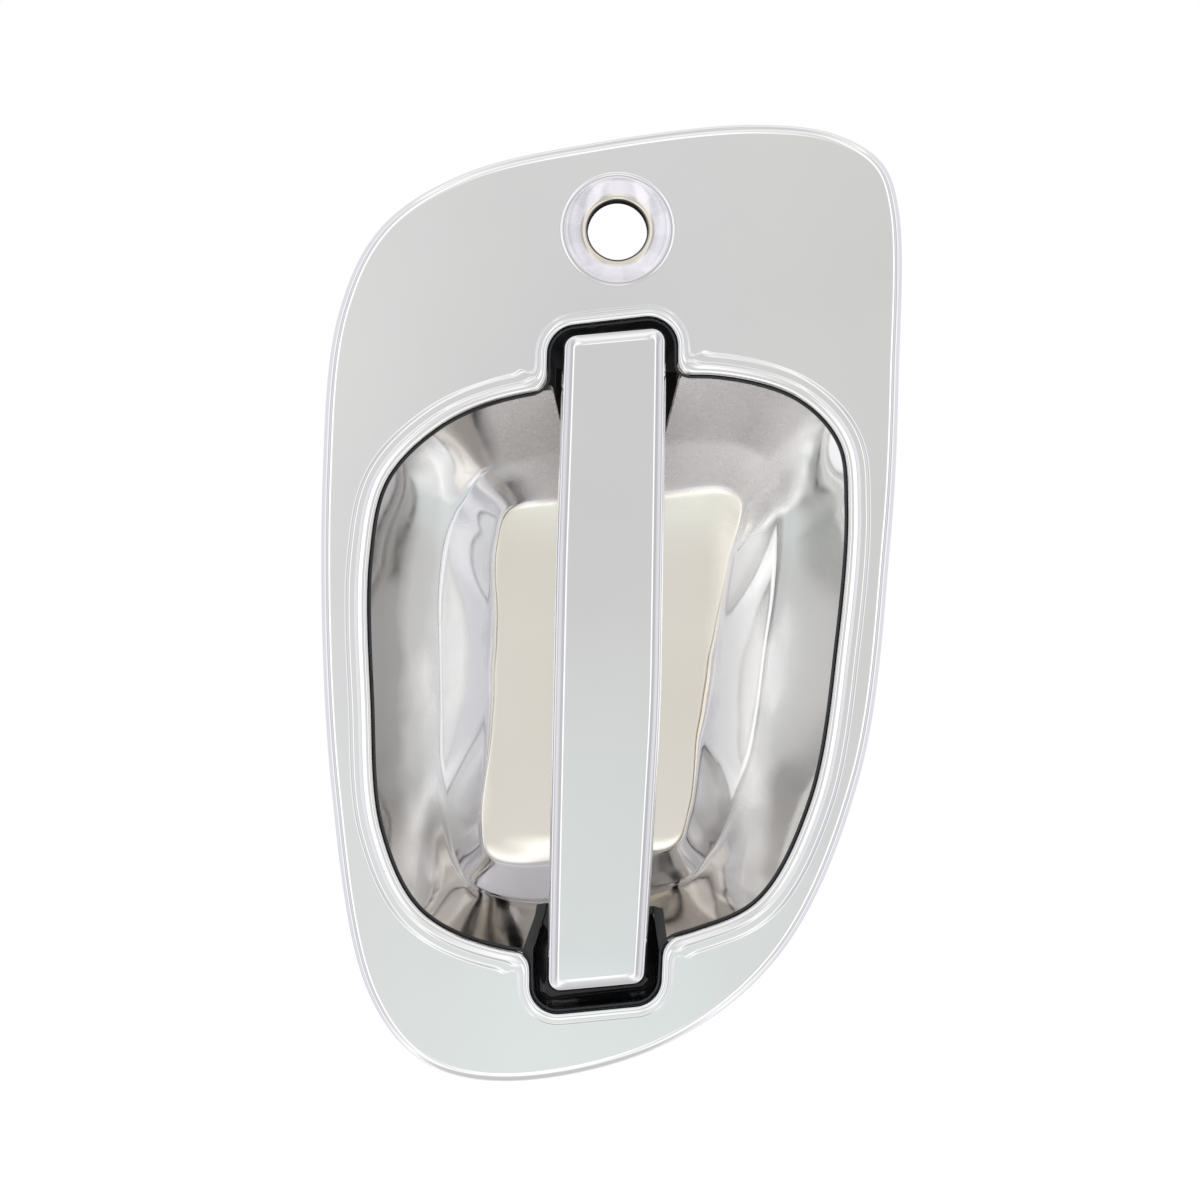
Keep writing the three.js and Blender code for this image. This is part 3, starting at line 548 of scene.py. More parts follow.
plate_chrome = plate_finish()
lever_chrome = chrome("lever_chrome", (0.84, 0.84, 0.845), (0.885, 0.885, 0.885), 0.04)
cast_chrome = chrome("cast_chrome", (0.84, 0.83, 0.81), (0.92, 0.91, 0.89), 0.16)
cup_chrome = cup_finish()
# Painted shade: a near-black gloss that stands in for the shaded chrome of the cup's trough.
trough_painted_shade = coated("trough_painted_shade", (0.01, 0.01, 0.011), (0.022, 0.022, 0.023), 0.0, 0.08, 40, 200, 0.00003)
black_nylon = coated("black_nylon", (0.014, 0.014, 0.015), (0.03, 0.03, 0.032), 0.0, 0.5, 60, 2200, 0.00004)
# Painted shadow: a black gloss for the cord that darkens the seam under the bezel's lip.
seam_shadow_gloss = coated("seam_shadow_gloss", (0.006, 0.007, 0.009), (0.016, 0.018, 0.022), 0.0, 0.22, 60, 900,
                      0.00002)
rubber = coated("rubber", (0.01, 0.01, 0.01), (0.022, 0.022, 0.022), 0.0, 0.8, 80, 1500, 0.00003)
zinc = coated("zinc", (0.5, 0.51, 0.53), (0.66, 0.67, 0.69), 0.95, 0.3, 400, 3000, 0.00001)
passivated = coated("passivated", (0.55, 0.45, 0.2), (0.7, 0.62, 0.42), 0.95, 0.3, 120, 2500, 0.00001)
spring_steel = coated("spring_steel", (0.16, 0.16, 0.17), (0.3, 0.3, 0.31), 0.9, 0.3, 300, 3000, 0.00001)
acetal = coated("acetal", (0.72, 0.7, 0.62), (0.8, 0.78, 0.7), 0.0, 0.35, 100, 2000, 0.00001)


# ------------------------------------------------------------------ bezel

AROUND = 720
BETWEEN = 16


def star_ring(field, count, furthest=200.0, steps=3600):
    """Where a field is 0 on rays from the origin, as points at equal steps along that line."""
    angle = np.linspace(0, 2 * math.pi, steps, endpoint=False)
    way = np.column_stack([np.cos(angle), np.sin(angle)])
    low, high = np.zeros(steps), np.full(steps, furthest)
    for _ in range(22):
        middle = (low + high) / 2
        inside = field(way * middle[:, None])[0] < 0
        low, high = np.where(inside, middle, low), np.where(inside, high, middle)
    return resampled(way * middle[:, None], count)


def on_spokes(start, end, field, value):
    """The point of each line from start to end where the field has the value."""
    low, high = np.zeros(len(start)), np.ones(len(start))
    for _ in range(18):
        middle = (low + high) / 2
        inside = field(start + (end - start) * middle[:, None])[0] < value
        low, high = np.where(inside, middle, low), np.where(inside, high, middle)
    return start + (end - start) * middle[:, None]


def periodic_smooth(values, width):
    kernel = np.exp(-np.linspace(-2, 2, 2 * width + 1) ** 2)
    kernel /= kernel.sum()
    wrapped = np.concatenate([values[-width:], values, values[:width]])
    return np.convolve(wrapped, kernel, "valid")


def matched(inner):
    """For each point of a ring round the pocket, a point of the bezel's outline and its normal."""
    count = len(outline.points)
    turn = np.unwrap(np.arctan2(inner[:, 1], inner[:, 0]))
    outer_turn = np.unwrap(np.arctan2(outline.points[:, 1], outline.points[:, 0]))
    sense = np.sign(outer_turn[-1] - outer_turn[0])
    order = slice(None, None, int(sense))
    at = np.interp(np.mod(turn - outer_turn[order][0], 2 * math.pi),
                   np.r_[(outer_turn[order] - outer_turn[order][0]), 2 * math.pi],
                   np.r_[np.arange(count)[order], count if sense > 0 else -1])
    at = np.unwrap(at * 2 * math.pi / count)
    gain = np.diff(np.r_[at, at[0] + 2 * math.pi * np.sign(at[-1] - at[0])])
    gain = periodic_smooth(gain, AROUND // 24)
    at = at[0] + np.r_[0, np.cumsum(gain)[:-1]]
    at = np.mod(np.round(at * count / (2 * math.pi)).astype(int), count)
    return outline.points[at], outline.normals[at]


def bezel_front(q):
    """Depth and gradient of the bezel's front at q."""
    y, slope_y = dome(q)
    f, gradient = beaded(q)
    return y - bead_height(f), slope_y - slope(bead_height, f)[:, None] * gradient


class Bezel:
    def __init__(self):
        self.skin = Skin()
        self.inner = star_ring(pocket, AROUND)
        self.rim, self.rim_out = matched(self.inner)

    def build(self):
        skin = self.skin
        wall_in = sideways(-pocket(self.inner)[1])
        # Inner lip, from its free edge up to the rounded crest of the bead.
        bottom = skin.ring(at_depth(self.inner, dome(self.inner)[0] + LIP_DEPTH))
        crest = BEAD["height"]
        rings = [(bottom, wall_in)]
        for angle in np.radians([90, 75, 60, 45, 30, 15]):
            f = LIP_ROLL * (1 - math.sin(angle))
            q = on_spokes(self.inner, self.rim, pocket, f) if f > 0.001 else self.inner
            y, s = dome(q)
            way = pocket(q)[1]
            ring = skin.ring(at_depth(q, y - crest + LIP_ROLL * (1 - math.cos(angle))))
            rings.append((ring, mixed(facing(s), sideways(-way), angle)))
        last = None
        for f in (1.35, 1.7, 2.1, 2.5, 2.8, 3.1, 3.4, 3.7, 4.3, 5.0, 5.4, 5.8, 6.2, 6.6, 7.2):
            q = on_spokes(self.inner, self.rim, beaded, f)
            y, s = bezel_front(q)
            rings.append((skin.ring(at_depth(q, y)), facing(s)))
            last = q
        skin.loft(rings)
        # The open face, with a window left for the lock dish.
        shoulder = self.rim - self.rim_out * EDGE_ROLL
        front = [rings[-1]]
        middles = [last]
        for t in np.linspace(0, 1, BETWEEN + 1)[1:]:
            q = last + (shoulder - last) * t
            y, s = dome(q)
            front.append((skin.ring(at_depth(q, y)), facing(s)))
            middles.append(q)
        window = self.window(middles)
        skin.loft(front, ~window)
        # Rolled outer edge, side wall and rim.
        rings = [front[-1]]
        for angle in np.radians([12, 24, 36, 48, 60, 70, 80, 90]):
            q = self.rim - self.rim_out * EDGE_ROLL * (1 - math.sin(angle))
            y, s = dome(q)
            ring = skin.ring(at_depth(q, y + EDGE_ROLL * (1 - math.cos(angle))))
            rings.append((ring, mixed(facing(s), sideways(self.rim_out), angle)))
        side = sideways(self.rim_out)
        rings.append((skin.ring(at_depth(self.rim, BASE_Y)), side))
        skin.loft(rings)
        away = np.tile((0.0, 1.0, 0.0), (AROUND, 1))
        within = self.rim - self.rim_out * WALL
        base = skin.ring(at_depth(within, BASE_Y))
        skin.band(rings[-1][0], base, away, away)
        y, s = dome(within)
        top = skin.ring(at_depth(within, y + EDGE_ROLL + WALL))
        skin.band(base, top, -side, -side)
        # The back of the shell, which follows the front a wall thickness behind.
        back_out = self.rim - self.rim_out * (WALL + 2.0)
        y, s = dome(back_out)
        back = [(skin.ring(at_depth(back_out, y + WALL)), -facing(s))]
        skin.band(top, back[0][0], -facing(s), -facing(s))
        back_in = on_spokes(self.inner, self.rim, pocket, 5.0)
        back_middles = [back_out]
        for t in np.linspace(0, 1, BETWEEN + 1)[1:]:
            q = back_out + (back_in - back_out) * t
            y, s = dome(q)
            back.append((skin.ring(at_depth(q, y + WALL)), -facing(s)))
            back_middles.append(q)
        skin.loft(back, ~window)
        lip = on_spokes(self.inner, self.rim, pocket, WALL)
        y, s = dome(lip)
        lip_top = skin.ring(at_depth(lip, y + WALL))
        lip_low = skin.ring(at_depth(lip, y + LIP_DEPTH))
        out = -wall_in
        skin.band(back[-1][0], lip_top, back[-1][1], -facing(s))
        skin.band(lip_top, lip_low, out, out)
        skin.band(lip_low, bottom, away, away)
        self.lock(front, back, window)
        return self.skin.object("bezel_shell", "plate", plate_chrome, ["bezel"], "plate_chrome")

    def window(self, middles):
        """The spokes whose part of the face makes room for the lock dish."""
        clear = LOCK["rim"] + 1.5
        cloud = np.stack(middles)
        near = np.abs(cloud[:, :, 0] - LOCK["x"]) < clear
        near &= cloud[:, :, 1] > LOCK["z"] - clear - 10
        return near.any(0)

    def lock(self, front, back, window):
        """Fills the window with the lock's dish in front and its boss behind."""
        first = np.flatnonzero(window & ~np.roll(window, 1))[0]
        last = np.flatnonzero(window & ~np.roll(window, -1))[0]
        spokes = np.arange(first, last + 2 + (len(window) if last < first else 0)) % len(window)
        skin = self.skin
        centre = np.array((LOCK["x"], LOCK["z"]))

        def border(rings):
            indices = np.stack([ring for ring, _ in rings])
            normals = np.stack([n for _, n in rings])
            cells = [(0, s) for s in spokes]
            cells += [(k, spokes[-1]) for k in range(1, len(rings))]
            cells += [(len(rings) - 1, s) for s in spokes[-2::-1]]
            cells += [(k, spokes[0]) for k in range(len(rings) - 2, 0, -1)]
            rows, columns = np.array(cells).T
            return indices[rows, columns], normals[rows, columns]

        def disc(rings, profile, face_of, sign):
            ring, normals = border(rings)
            flat = np.concatenate(skin.points)[ring][:, (0, 2)]
            turn = np.arctan2(*(flat - centre).T[::-1])
            around = np.column_stack([np.cos(turn), np.sin(turn)])
            round_ring = centre + (LOCK["rim"] + 0.4) * around
            parts = [(ring, normals)]
            for t in (0.25, 0.5, 0.75, 1.0):
                q = flat + (round_ring - flat) * t
                y, s = face_of(q)
                parts.append((skin.ring(at_depth(q, y)), sign * facing(s)))
            skin.loft(parts)
            return parts[-1], profile(around)

        def front_profile(around):
            rows = []
            for r in (16.8, 16.4, 16.0, 15.6, 15.3, 15.0, 14.6, 14.2, 13.4, 12.4, 11.4, 10.6, 10.2, 9.9):
                q = centre + r * around
                y, s = dome(q)
                change = slope(lock_depth, np.array([r]))[0]
                rows.append((q, y + lock_depth(np.array([r]))[0], facing(s + change * around)))
            throat = LOCK["throat"] - LOCK["hole"]
            for angle in np.radians([30, 50, 70, 90]):
                r = LOCK["hole"] + throat * (1 - math.sin(angle))
                q = centre + r * around
                y = dome(q)[0] + LOCK["depth"] + throat * (1 - math.cos(angle)) * 0.8
                rows.append((q, y, mixed(facing(dome(q)[1]), sideways(-around), angle)))
            rows.append((centre + LOCK["hole"] * around, LOCK["back"], sideways(-around)))
            return rows

        def back_profile(around):
            rows = []
            for r, drop in ((16.0, 3.0), (14.0, 4.6), (11.6, 6.6), (11.0, 7.4)):
                q = centre + r * around
                rows.append((q, dome(q)[0] + drop, mixed(-facing(dome(q)[1]), sideways(around), 0.6)))
            rows.append((centre + LOCK["boss"] * around, LOCK["back"], sideways(around)))
            return rows

        def shell(q):
            y, s = dome(q)
            return y + WALL, s

        ends = []
        sides = ((front, front_profile, dome, 1), (back, back_profile, shell, -1))
        for rings, profile, face_of, sign in sides:
            first_ring, rows = disc(rings, profile, face_of, sign)
            rings = [first_ring, *((skin.ring(at_depth(q, y)), n) for q, y, n in rows)]
            skin.loft(rings)
            ends.append(rings[-1][0])
        self.close(ends, centre)

    def close(self, ends, centre):
        """Joins the front and back of the lock tube at its free end, matching rings by angle."""
        skin = self.skin
        cloud = np.concatenate(skin.points)
        angles = [np.arctan2(*(cloud[ring][:, (0, 2)] - centre).T[::-1]) for ring in ends]
        rings = [ring[np.argsort(a)] for ring, a in zip(ends, angles)]
        angles = [np.sort(a) for a in angles]
        i, j = 0, 0
        faces = []
        inner, outer = rings
        na, nb = len(inner), len(outer)
        while i < na or j < nb:
            next_i = angles[0][(i + 1) % na] + (2 * math.pi if i + 1 >= na else 0)
            next_j = angles[1][(j + 1) % nb] + (2 * math.pi if j + 1 >= nb else 0)
            if j >= nb or (i < na and next_i <= next_j):
                faces.append((inner[i % na], outer[j % nb], inner[(i + 1) % na]))
                i += 1
            else:
                faces.append((inner[i % na], outer[j % nb], outer[(j + 1) % nb]))
                j += 1
        faces = np.array(faces)
        skin.add(faces, np.tile((0.0, 1.0, 0.0), (len(faces), 3, 1)))


Bezel().build()

# ------------------------------------------------------------------ finger cup


def radius_of(loop):
    """The outline's distance from the origin for any direction."""
    turn = np.unwrap(np.arctan2(loop.points[:, 1], loop.points[:, 0]))
    far = np.linalg.norm(loop.points, axis=1)
    if turn[-1] < turn[0]:
        turn, far = turn[::-1], far[::-1]
    turn, far, start = np.r_[turn, turn[0] + 2 * math.pi], np.r_[far, far[0]], turn[0]

    def radius(angle):
        return np.interp(start + np.mod(angle - start, 2 * math.pi), turn, far)

    return radius


floor_loop = Loop(smooth_loop, FLOOR)
rim_radius, floor_radius = radius_of(bowl), radius_of(floor_loop)


def reach(q):
    """How far out a point is: 0 in the middle, CUP["floor"] on the floor's edge, 1 on the rim."""
    turn = np.arctan2(q[:, 1], q[:, 0])
    far, rim, edge = np.linalg.norm(q, axis=1), rim_radius(turn), floor_radius(turn)
    outer = CUP["floor"] + (1 - CUP["floor"]) * (far - edge) / (rim - edge)
    return np.where(far < edge, CUP["floor"] * far / edge, outer)


def risen(rate):
    """Height gained by reach at this rate, in parts of the distance from the floor's edge to the rim."""
    total = np.r_[0, np.cumsum((rate[1:] + rate[:-1]) / 2 * np.diff(shares))]
    return total / (1 - CUP["floor"])


# The height of the inner facet and of the outer wall, from the floor's edge outwards.
shares = np.linspace(0, 1.25, 1251)
past_crease = step(shares, 0.695, 0.755)
FIRST = risen(step(shares, CUP["floor"] - 0.03, CUP["floor"] + 0.03) - past_crease)
SECOND = risen(past_crease * (1 + 0.1 * step(shares, 0.8, 1.1)))


def dish(q):
    """How far the floor rises from its middle, going on as a slope beyond the floor's edge."""
    far = ((q[:, 0] / 36) ** 4 + (q[:, 1] / 56) ** 4) ** 0.25
    edge = q / np.maximum(far, 1)[:, None]
    across, along = (edge[:, 0] / 36) ** 4, (edge[:, 1] / 56) ** 6
    return 1.7 * across + 3.0 * along + (6.8 * across + 18 * along) * np.maximum(far - 1, 0)


def ripple(q):
    """The unevenness of the bowl's ends, where the metal was drawn deepest."""
    x, z = q[:, 0], q[:, 1]
    wave = np.sin(x / 5.1 + 1.3 * np.sin(z / 6.3)) + 0.7 * np.sin(x / 2.9 - z / 4.3 + 2.0)
    return wave * (0.02 * step(z, 44, 60) + 0.07 * step(-z, 48, 62))


def bowl_depth(q):
    """Depth of the bowl's front: a shallow dish, then the inner facet, then the steeper outer wall."""
    turn = np.arctan2(q[:, 1], q[:, 0])
    way = np.column_stack([np.cos(turn), np.sin(turn)])
    far_rim, far_edge = rim_radius(turn), floor_radius(turn)
    width = far_rim - far_edge
    depth = CUP["depth"] - CUP["foot"] * step(-q[:, 1], -10, 75)
    rise = CUP["depth"] - CUP["foot"] * step(-way[:, 1] * far_rim, -10, 75) - dish(way * far_rim[:, None])
    facet = CUP["facet"] * width - (dish(way * far_rim[:, None]) - dish(way * far_edge[:, None]))
    wobble = 0.0016 * (np.sin(9 * turn + 1) + 0.6 * np.sin(17 * turn))
    out = reach(q) + wobble
    first, second = np.interp(out, shares, FIRST), np.interp(out, shares, SECOND)
    whole = [np.interp(1 + wobble, shares, part) for part in (FIRST, SECOND)]
    wall = facet * first + (rise - facet * whole[0]) * second / whole[1]
    return dome(q)[0] + CUP["drop"] + depth - dish(q) - wall + ripple(q)


def graded(function, q):
    """A depth function's value and gradient, by small steps."""
    h = 0.25
    dx, dz = np.array((h, 0)), np.array((0, h))
    change = [function(q + dx) - function(q - dx), function(q + dz) - function(q - dz)]
    return function(q), np.column_stack(change) / (2 * h)


# Where the bowl is cut away for the lever's arm and foot.
TOP_BITE = Loop(filleted_loop, [(-21, 90, 2), (19.5, 90, 2), (14.2, 64, 6), (9, 54, 6), (-9, 54, 6),
                                (-14.4, 64, 6)])
LOW_BITE = Loop(filleted_loop, [(-20.5, -95, 2), (-19.6, -84, 5), (-15.8, -73, 5), (-11, -66, 4),
                                (11, -66, 4), (15.4, -73, 5), (18.6, -82, 5), (19.5, -95, 2)])


def bowl_domain(q):
    """Negative where the bowl has material: inside its rim and outside both bites."""
    rim, way = bowl.distance(q)
    for loop in (TOP_BITE, LOW_BITE):
        far, out = loop.distance(q)
        inside = blended((-rim, -way), (far, out), 1.2)
        rim, way = -inside[0], -inside[1]
    return rim, way


def make_cup():
    skin = Skin()
    edge = star_ring(bowl_domain, 560)
    turn = np.arctan2(edge[:, 1], edge[:, 0])
    way = np.column_stack([np.cos(turn), np.sin(turn)])
    rim, floor_edge, most = rim_radius(turn), floor_radius(turn), reach(edge)
    tight = CUP["floor"] + 0.045
    front, back = [], []
    for share in (1, 0.994, 0.985, 0.97, 0.95, 0.925, 0.895, 0.86, 0.82, 0.78, 0.74, 0.7, 0.66, 0.62,
                  0.58, 0.545, 0.53, 0.52, 0.51, 0.5, 0.49, 0.48, 0.47, 0.45, 0.42, 0.39, 0.35, 0.3,
                  0.25, 0.2, 0.14, 0.07):
        here = np.full(len(turn), share)
        if share > tight:
            here = tight + (most - tight) * (share - tight) / (1 - tight)
        beyond = floor_edge + (rim - floor_edge) * (here - CUP["floor"]) / (1 - CUP["floor"])
        q = way * np.where(here < CUP["floor"], floor_edge * here / CUP["floor"], beyond)[:, None]
        y, s = graded(bowl_depth, q)
        n = facing(s)
        front.append((skin.ring(at_depth(q, y)), n))
        back.append((skin.ring(at_depth(q, y) - n * CUP["wall"]), -n))
    for rows in (front, back):
        skin.loft(rows)
        skin.cap(*rows[-1])
    out = sideways(bowl_domain(edge)[1])
    skin.band(front[0][0], back[0][0], out, out)
    return skin.object("pocket_cup_bowl", "plate", cup_chrome, ["pocket_cup"], "cup_chrome")


make_cup()


def make_seam_shadow_cord():
    """A black cord laid in the seam between the bezel's lip and the cup, as painted shadow for the shaded gap
    there.
    """
    count, radius = 560, 0.5
    centre = star_ring(lambda q: (pocket(q)[0] + 0.45, pocket(q)[1]), count)
    out = pocket(centre)[1]
    forwards = np.tile((0.0, -1.0, 0.0), (count, 1))
    middle = dome(centre)[0] + CUP["drop"] - 0.35
    skin, rings = Skin(), []
    for a in np.linspace(0, 2 * math.pi, 12, endpoint=False):
        points = at_depth(centre + out * radius * math.cos(a), middle - radius * math.sin(a))
        rings.append((skin.ring(points), mixed(sideways(out), forwards, a)))
    skin.loft([*rings, rings[0]])
    return skin.object("pocket_cup_seam_shadow", "plate", seam_shadow_gloss, ["pocket_cup"], "rubber")


make_seam_shadow_cord()


def make_trough():
    """The channel of the cup that the lever's foot stands in, made near-black gloss as painted shade for its
    shaded chrome recess.
    """
    path = filleted_path([
        (-15.7, -70.5, 0), (-16.2, -74, 8), (-19.3, -83.5, 4), (-18.2, -101.4, 5), (16.7, -96.6, 5),
        (17.3, -82.8, 4), (15.6, -74, 8), (15.2, -70.5, 0),
    ], 260)
    along = np.gradient(path, axis=0)
    along /= np.linalg.norm(along, axis=1)[:, None]
    out = np.column_stack([along[:, 1], -along[:, 0]])
    out *= np.sign((out * (path - path.mean(0))).sum())
    skin = Skin()
    keep = np.ones(len(path), bool)
    keep[-1] = False
    side = sideways(-out)
    in_bowl = np.where(bowl.distance(path)[0] < 0, bowl_depth(path), -1e9)
    top = np.maximum(in_bowl, dome(path)[0] + CUP["drop"])
    top = np.minimum(top, CHANNEL_FLOOR - 0.05)
    lip = path + out * 3.0
    deep = np.full(len(path), CHANNEL_FLOOR)
    front = np.tile((0.0, -1.0, 0.0), (len(path), 1))
    rings = [(at_depth(lip, np.minimum(dome(lip)[0] + CUP["drop"], top)), front),
             (at_depth(path + out * 0.3, top), front), (at_depth(path, np.minimum(top + 0.3, deep)), side)]
    radius = np.minimum(3.5, (deep - top) * 0.9)
    for angle in np.radians([0, 18, 36, 54, 72, 90]):
        q = path - out * (radius * (1 - math.cos(angle)))[:, None]
        y = deep - radius * (1 - math.sin(angle))
        rings.append((at_depth(q, y), mixed(side, front, angle)))
    made = [(skin.ring(points), n) for points, n in rings]
    skin.loft(made, keep)
    skin.cap(made[-1][0], front)
    # The trough is chrome in shade, painted as near-black gloss.
    return skin.object("pocket_cup_trough", "plate", trough_painted_shade, ["pocket_cup"], "black_nylon")


make_trough()


def make_flange():
    """The rim of the cup that lies behind the bezel's lip."""
    skin = Skin()
    inner = star_ring(pocket, 480)
    way = pocket(inner)[1]
    near, far = inner - way * 0.2, inner + way * CUP["flange"]
    front, back = [], []
    for q in (near, far):
        y, s = dome(q)
        front.append((skin.ring(at_depth(q, y + CUP["drop"])), facing(s)))
        back.append((skin.ring(at_depth(q, y + CUP["drop"] + CUP["wall"])), -facing(s)))
    skin.band(front[0][0], front[1][0], front[0][1], front[1][1])
    skin.band(back[0][0], back[1][0], back[0][1], back[1][1])
    out = sideways(way)
    skin.band(front[1][0], back[1][0], out, out)
    skin.band(front[0][0], back[0][0], -out, -out)
    return skin.object("pocket_cup_flange", "plate", cup_chrome, ["pocket_cup"], "cup_chrome")


make_flange()

# ------------------------------------------------------------------ lever cover


def lever_face(q):
    """Depth of the lever's front and its gradient: the bezel's curve, crowned across and at the ends."""
    on_axis = np.column_stack([np.zeros(len(q)), q[:, 1]])
    y, s = dome(on_axis)

    def ends(z):
        return 0.35 * (step(z, 84, 98) + step(-z, 84, 95))

    value = y - LEVER["proud"] + q[:, 0] ** 2 / (2 * LEVER["cross"]) + ends(q[:, 1])
    return value, np.column_stack([q[:, 0] / LEVER["cross"], s[:, 1] + slope(ends, q[:, 1])])


def make_lever_cover():
    skin = Skin()
    edge, out = lever_loop.ring(480)
    side = sideways(out)
    depth = dome(np.column_stack([np.zeros(len(edge)), edge[:, 1]]))[0] - LEVER["proud"] + LEVER["depth"]
    rings = [(skin.ring(at_depth(edge, depth)), side)]
    # How far in from the edge, how far below the face, and how far the normal leans out, in degrees.
    bevel = [(0.0, 2.7, 86), (0.08, 2.25, 74), (0.22, 1.9, 64), (0.45, 1.55, 52), (0.75, 1.25, 40),
             (1.1, 1.02, 30), (1.5, 0.83, 25), (2.2, 0.53, 23), (2.9, 0.24, 20), (3.2, 0.12, 15),
             (3.45, 0.03, 8), (3.7, 0.0, 0)]
    spine = np.column_stack([np.zeros(len(edge)), np.clip(edge[:, 1], -80, 84)])
    for inset, drop, degrees in bevel:
        q = on_spokes(spine, edge, lever_loop.distance, -inset)
        y, s = lever_face(q)
        rings.append((skin.ring(at_depth(q, y + drop)), mixed(facing(s), side, math.radians(degrees))))
    start = q
    for t in (0.06, 0.14, 0.25, 0.4, 0.55, 0.7, 0.82, 0.92):
        q = start + (spine - start) * t
        y, s = lever_face(q)
        rings.append((skin.ring(at_depth(q, y)), facing(s)))
    skin.loft(rings)
    skin.cap(*rings[-1])
    within = edge - out * (LEVER["wall"] + 0.24)
    inner = skin.ring(at_depth(within, depth))
    away = np.tile((0.0, 1.0, 0.0), (len(edge), 1))
    skin.band(rings[0][0], inner, away, away)
    y, s = lever_face(within)
    deep = skin.ring(at_depth(within, y + LEVER["wall"] + 1.6))
    skin.band(inner, deep, -side, -side)
    skin.cap(deep, -facing(s))
    return skin.object("lever_skin", "lever", lever_chrome, ["lever_cover"], "lever_chrome")


make_lever_cover()

# ------------------------------------------------------------------ pieces behind the face

# Pivots and the push pin, as (y, z).
HINGE, CRANK, PUSH_PIN = (12.5, -80.0), (26.0, 107.0), (45.4, 74.85)
ROD_ARM = dict(length=22.0, degrees=24.0)
# Places on the face, as (x, z).
STUDS = [(-50, 116), (62, 118), (-50, -102), (46, -77.5)]
SCREWS = [(-44, 92), (46, 97), (-33, -95), (28, -89)]
LEVER_SCREWS = dict(lever_screw_upper=(0, 45), lever_screw_lower=(0, -45))
BUMPERS = dict(bumper_left=(-12, 92), bumper_right=(11, 92))
PLATE_BACK = 1.8


def face_at(at):
    return float(dome(np.array([at], float))[0][0])


def from_rows(rows, close_ends=True):
    """A mesh over closed rings of points, with a fan at both ends."""
    count = len(rows[0])
    points = np.concatenate(rows)
    faces = []
    for k in range(len(rows) - 1):
        for i in range(count):
            j = (i + 1) % count
            faces.append((k * count + i, k * count + j, (k + 1) * count + j, (k + 1) * count + i))
    if close_ends:
        faces.append(tuple(range(count))[::-1])
        faces.append(tuple((len(rows) - 1) * count + i for i in range(count)))
    return points, faces


def about(axis, centre, radius, along, angles):
    """Points of a ring round an axis along X (centre is y, z) or along Y (centre is x, z)."""
    a, b = centre[0] + radius * np.cos(angles), centre[1] + radius * np.sin(angles)
    along = np.broadcast_to(along, len(angles))
    return np.column_stack([along, a, b] if axis == "X" else [a, along, b])


def turned(axis, centre, profile, sides=48):
    """A turned solid; its profile of (radius, place) runs from axis to axis."""
    angles = np.linspace(0, 2 * math.pi, sides, endpoint=False)
    rows = [about(axis, centre, max(r, 0.02), along, angles) for r, along in profile]
    return from_rows(rows)


def tube(axis, centre, profile):
    angles = np.linspace(0, 2 * math.pi, 48, endpoint=False)
    rows = [about(axis, centre, r, along, angles) for r, along in (*profile, profile[0])]
    return from_rows(rows, close_ends=False)


def rounded(profile, radius):
    """A profile with its inner corners rounded."""
    points = np.array(profile, float)
    out = [points[0]]
    for before, here, after in zip(points, points[1:], points[2:]):
        a, b = before - here, after - here
        cut = min(radius, np.linalg.norm(a) * 0.45, np.linalg.norm(b) * 0.45)
        a, b = a / np.linalg.norm(a) * cut, b / np.linalg.norm(b) * cut
        for t in np.linspace(0, 1, 4):
            out.append(here + a * (1 - t) ** 2 + b * t**2)
    return [*out, points[-1]]


def mesh_of(name, parts, merge=0.0):
    """A mesh from (points, faces) pairs in millimetres, its faces outwards."""
    bm = bmesh.new()
    for points, faces in parts:
        corners = [bm.verts.new(Vector(p) * MM) for p in points]
        for face in faces:
            bm.faces.new([corners[i] for i in face])
    if merge:
        bmesh.ops.remove_doubles(bm, verts=bm.verts, dist=merge * MM)
    bmesh.ops.recalc_face_normals(bm, faces=bm.faces)
    mesh = bpy.data.meshes.new(name)
    bm.to_mesh(mesh)
    bm.free()
    return mesh


def shaded(mesh, angle):
    """Smooth, but crisp at edges that turn by more than the angle."""
    mesh.polygons.foreach_set("use_smooth", [True] * len(mesh.polygons))
    mesh.set_sharp_from_angle(angle=math.radians(angle))
    return mesh


def apply_modifiers(piece):
    bpy.context.view_layer.update()
    seen = piece.evaluated_get(bpy.context.evaluated_depsgraph_get())
    piece.data = bpy.data.meshes.new_from_object(seen)
    piece.modifiers.clear()


def solid(name, body, material, slot, replaced, *parts, angle=35):
    """One piece from (points, faces) pairs in millimetres."""
    return finished(shaded(mesh_of(name, parts, 0.004), angle), name, body, material, replaced)


def plate(outline, low, high, chamfer):
    """A plate across X with this outline of (y, z), its rims chamfered."""
    outline = np.array(outline, float)
    along = np.roll(outline, -1, 0) - np.roll(outline, 1, 0)
    area = np.sum(outline[:, 0] * np.roll(outline[:, 1], -1) - outline[:, 1] * np.roll(outline[:, 0], -1))
    out = np.column_stack([along[:, 1], -along[:, 0]]) * np.sign(area)
    out /= np.linalg.norm(out, axis=1)[:, None]
    rows = []
    for inset, at in ((chamfer, low), (0, low + chamfer), (0, high - chamfer), (chamfer, high)):
        rows.append(np.column_stack([np.full(len(outline), at), outline - out * inset]))
    return from_rows(rows)


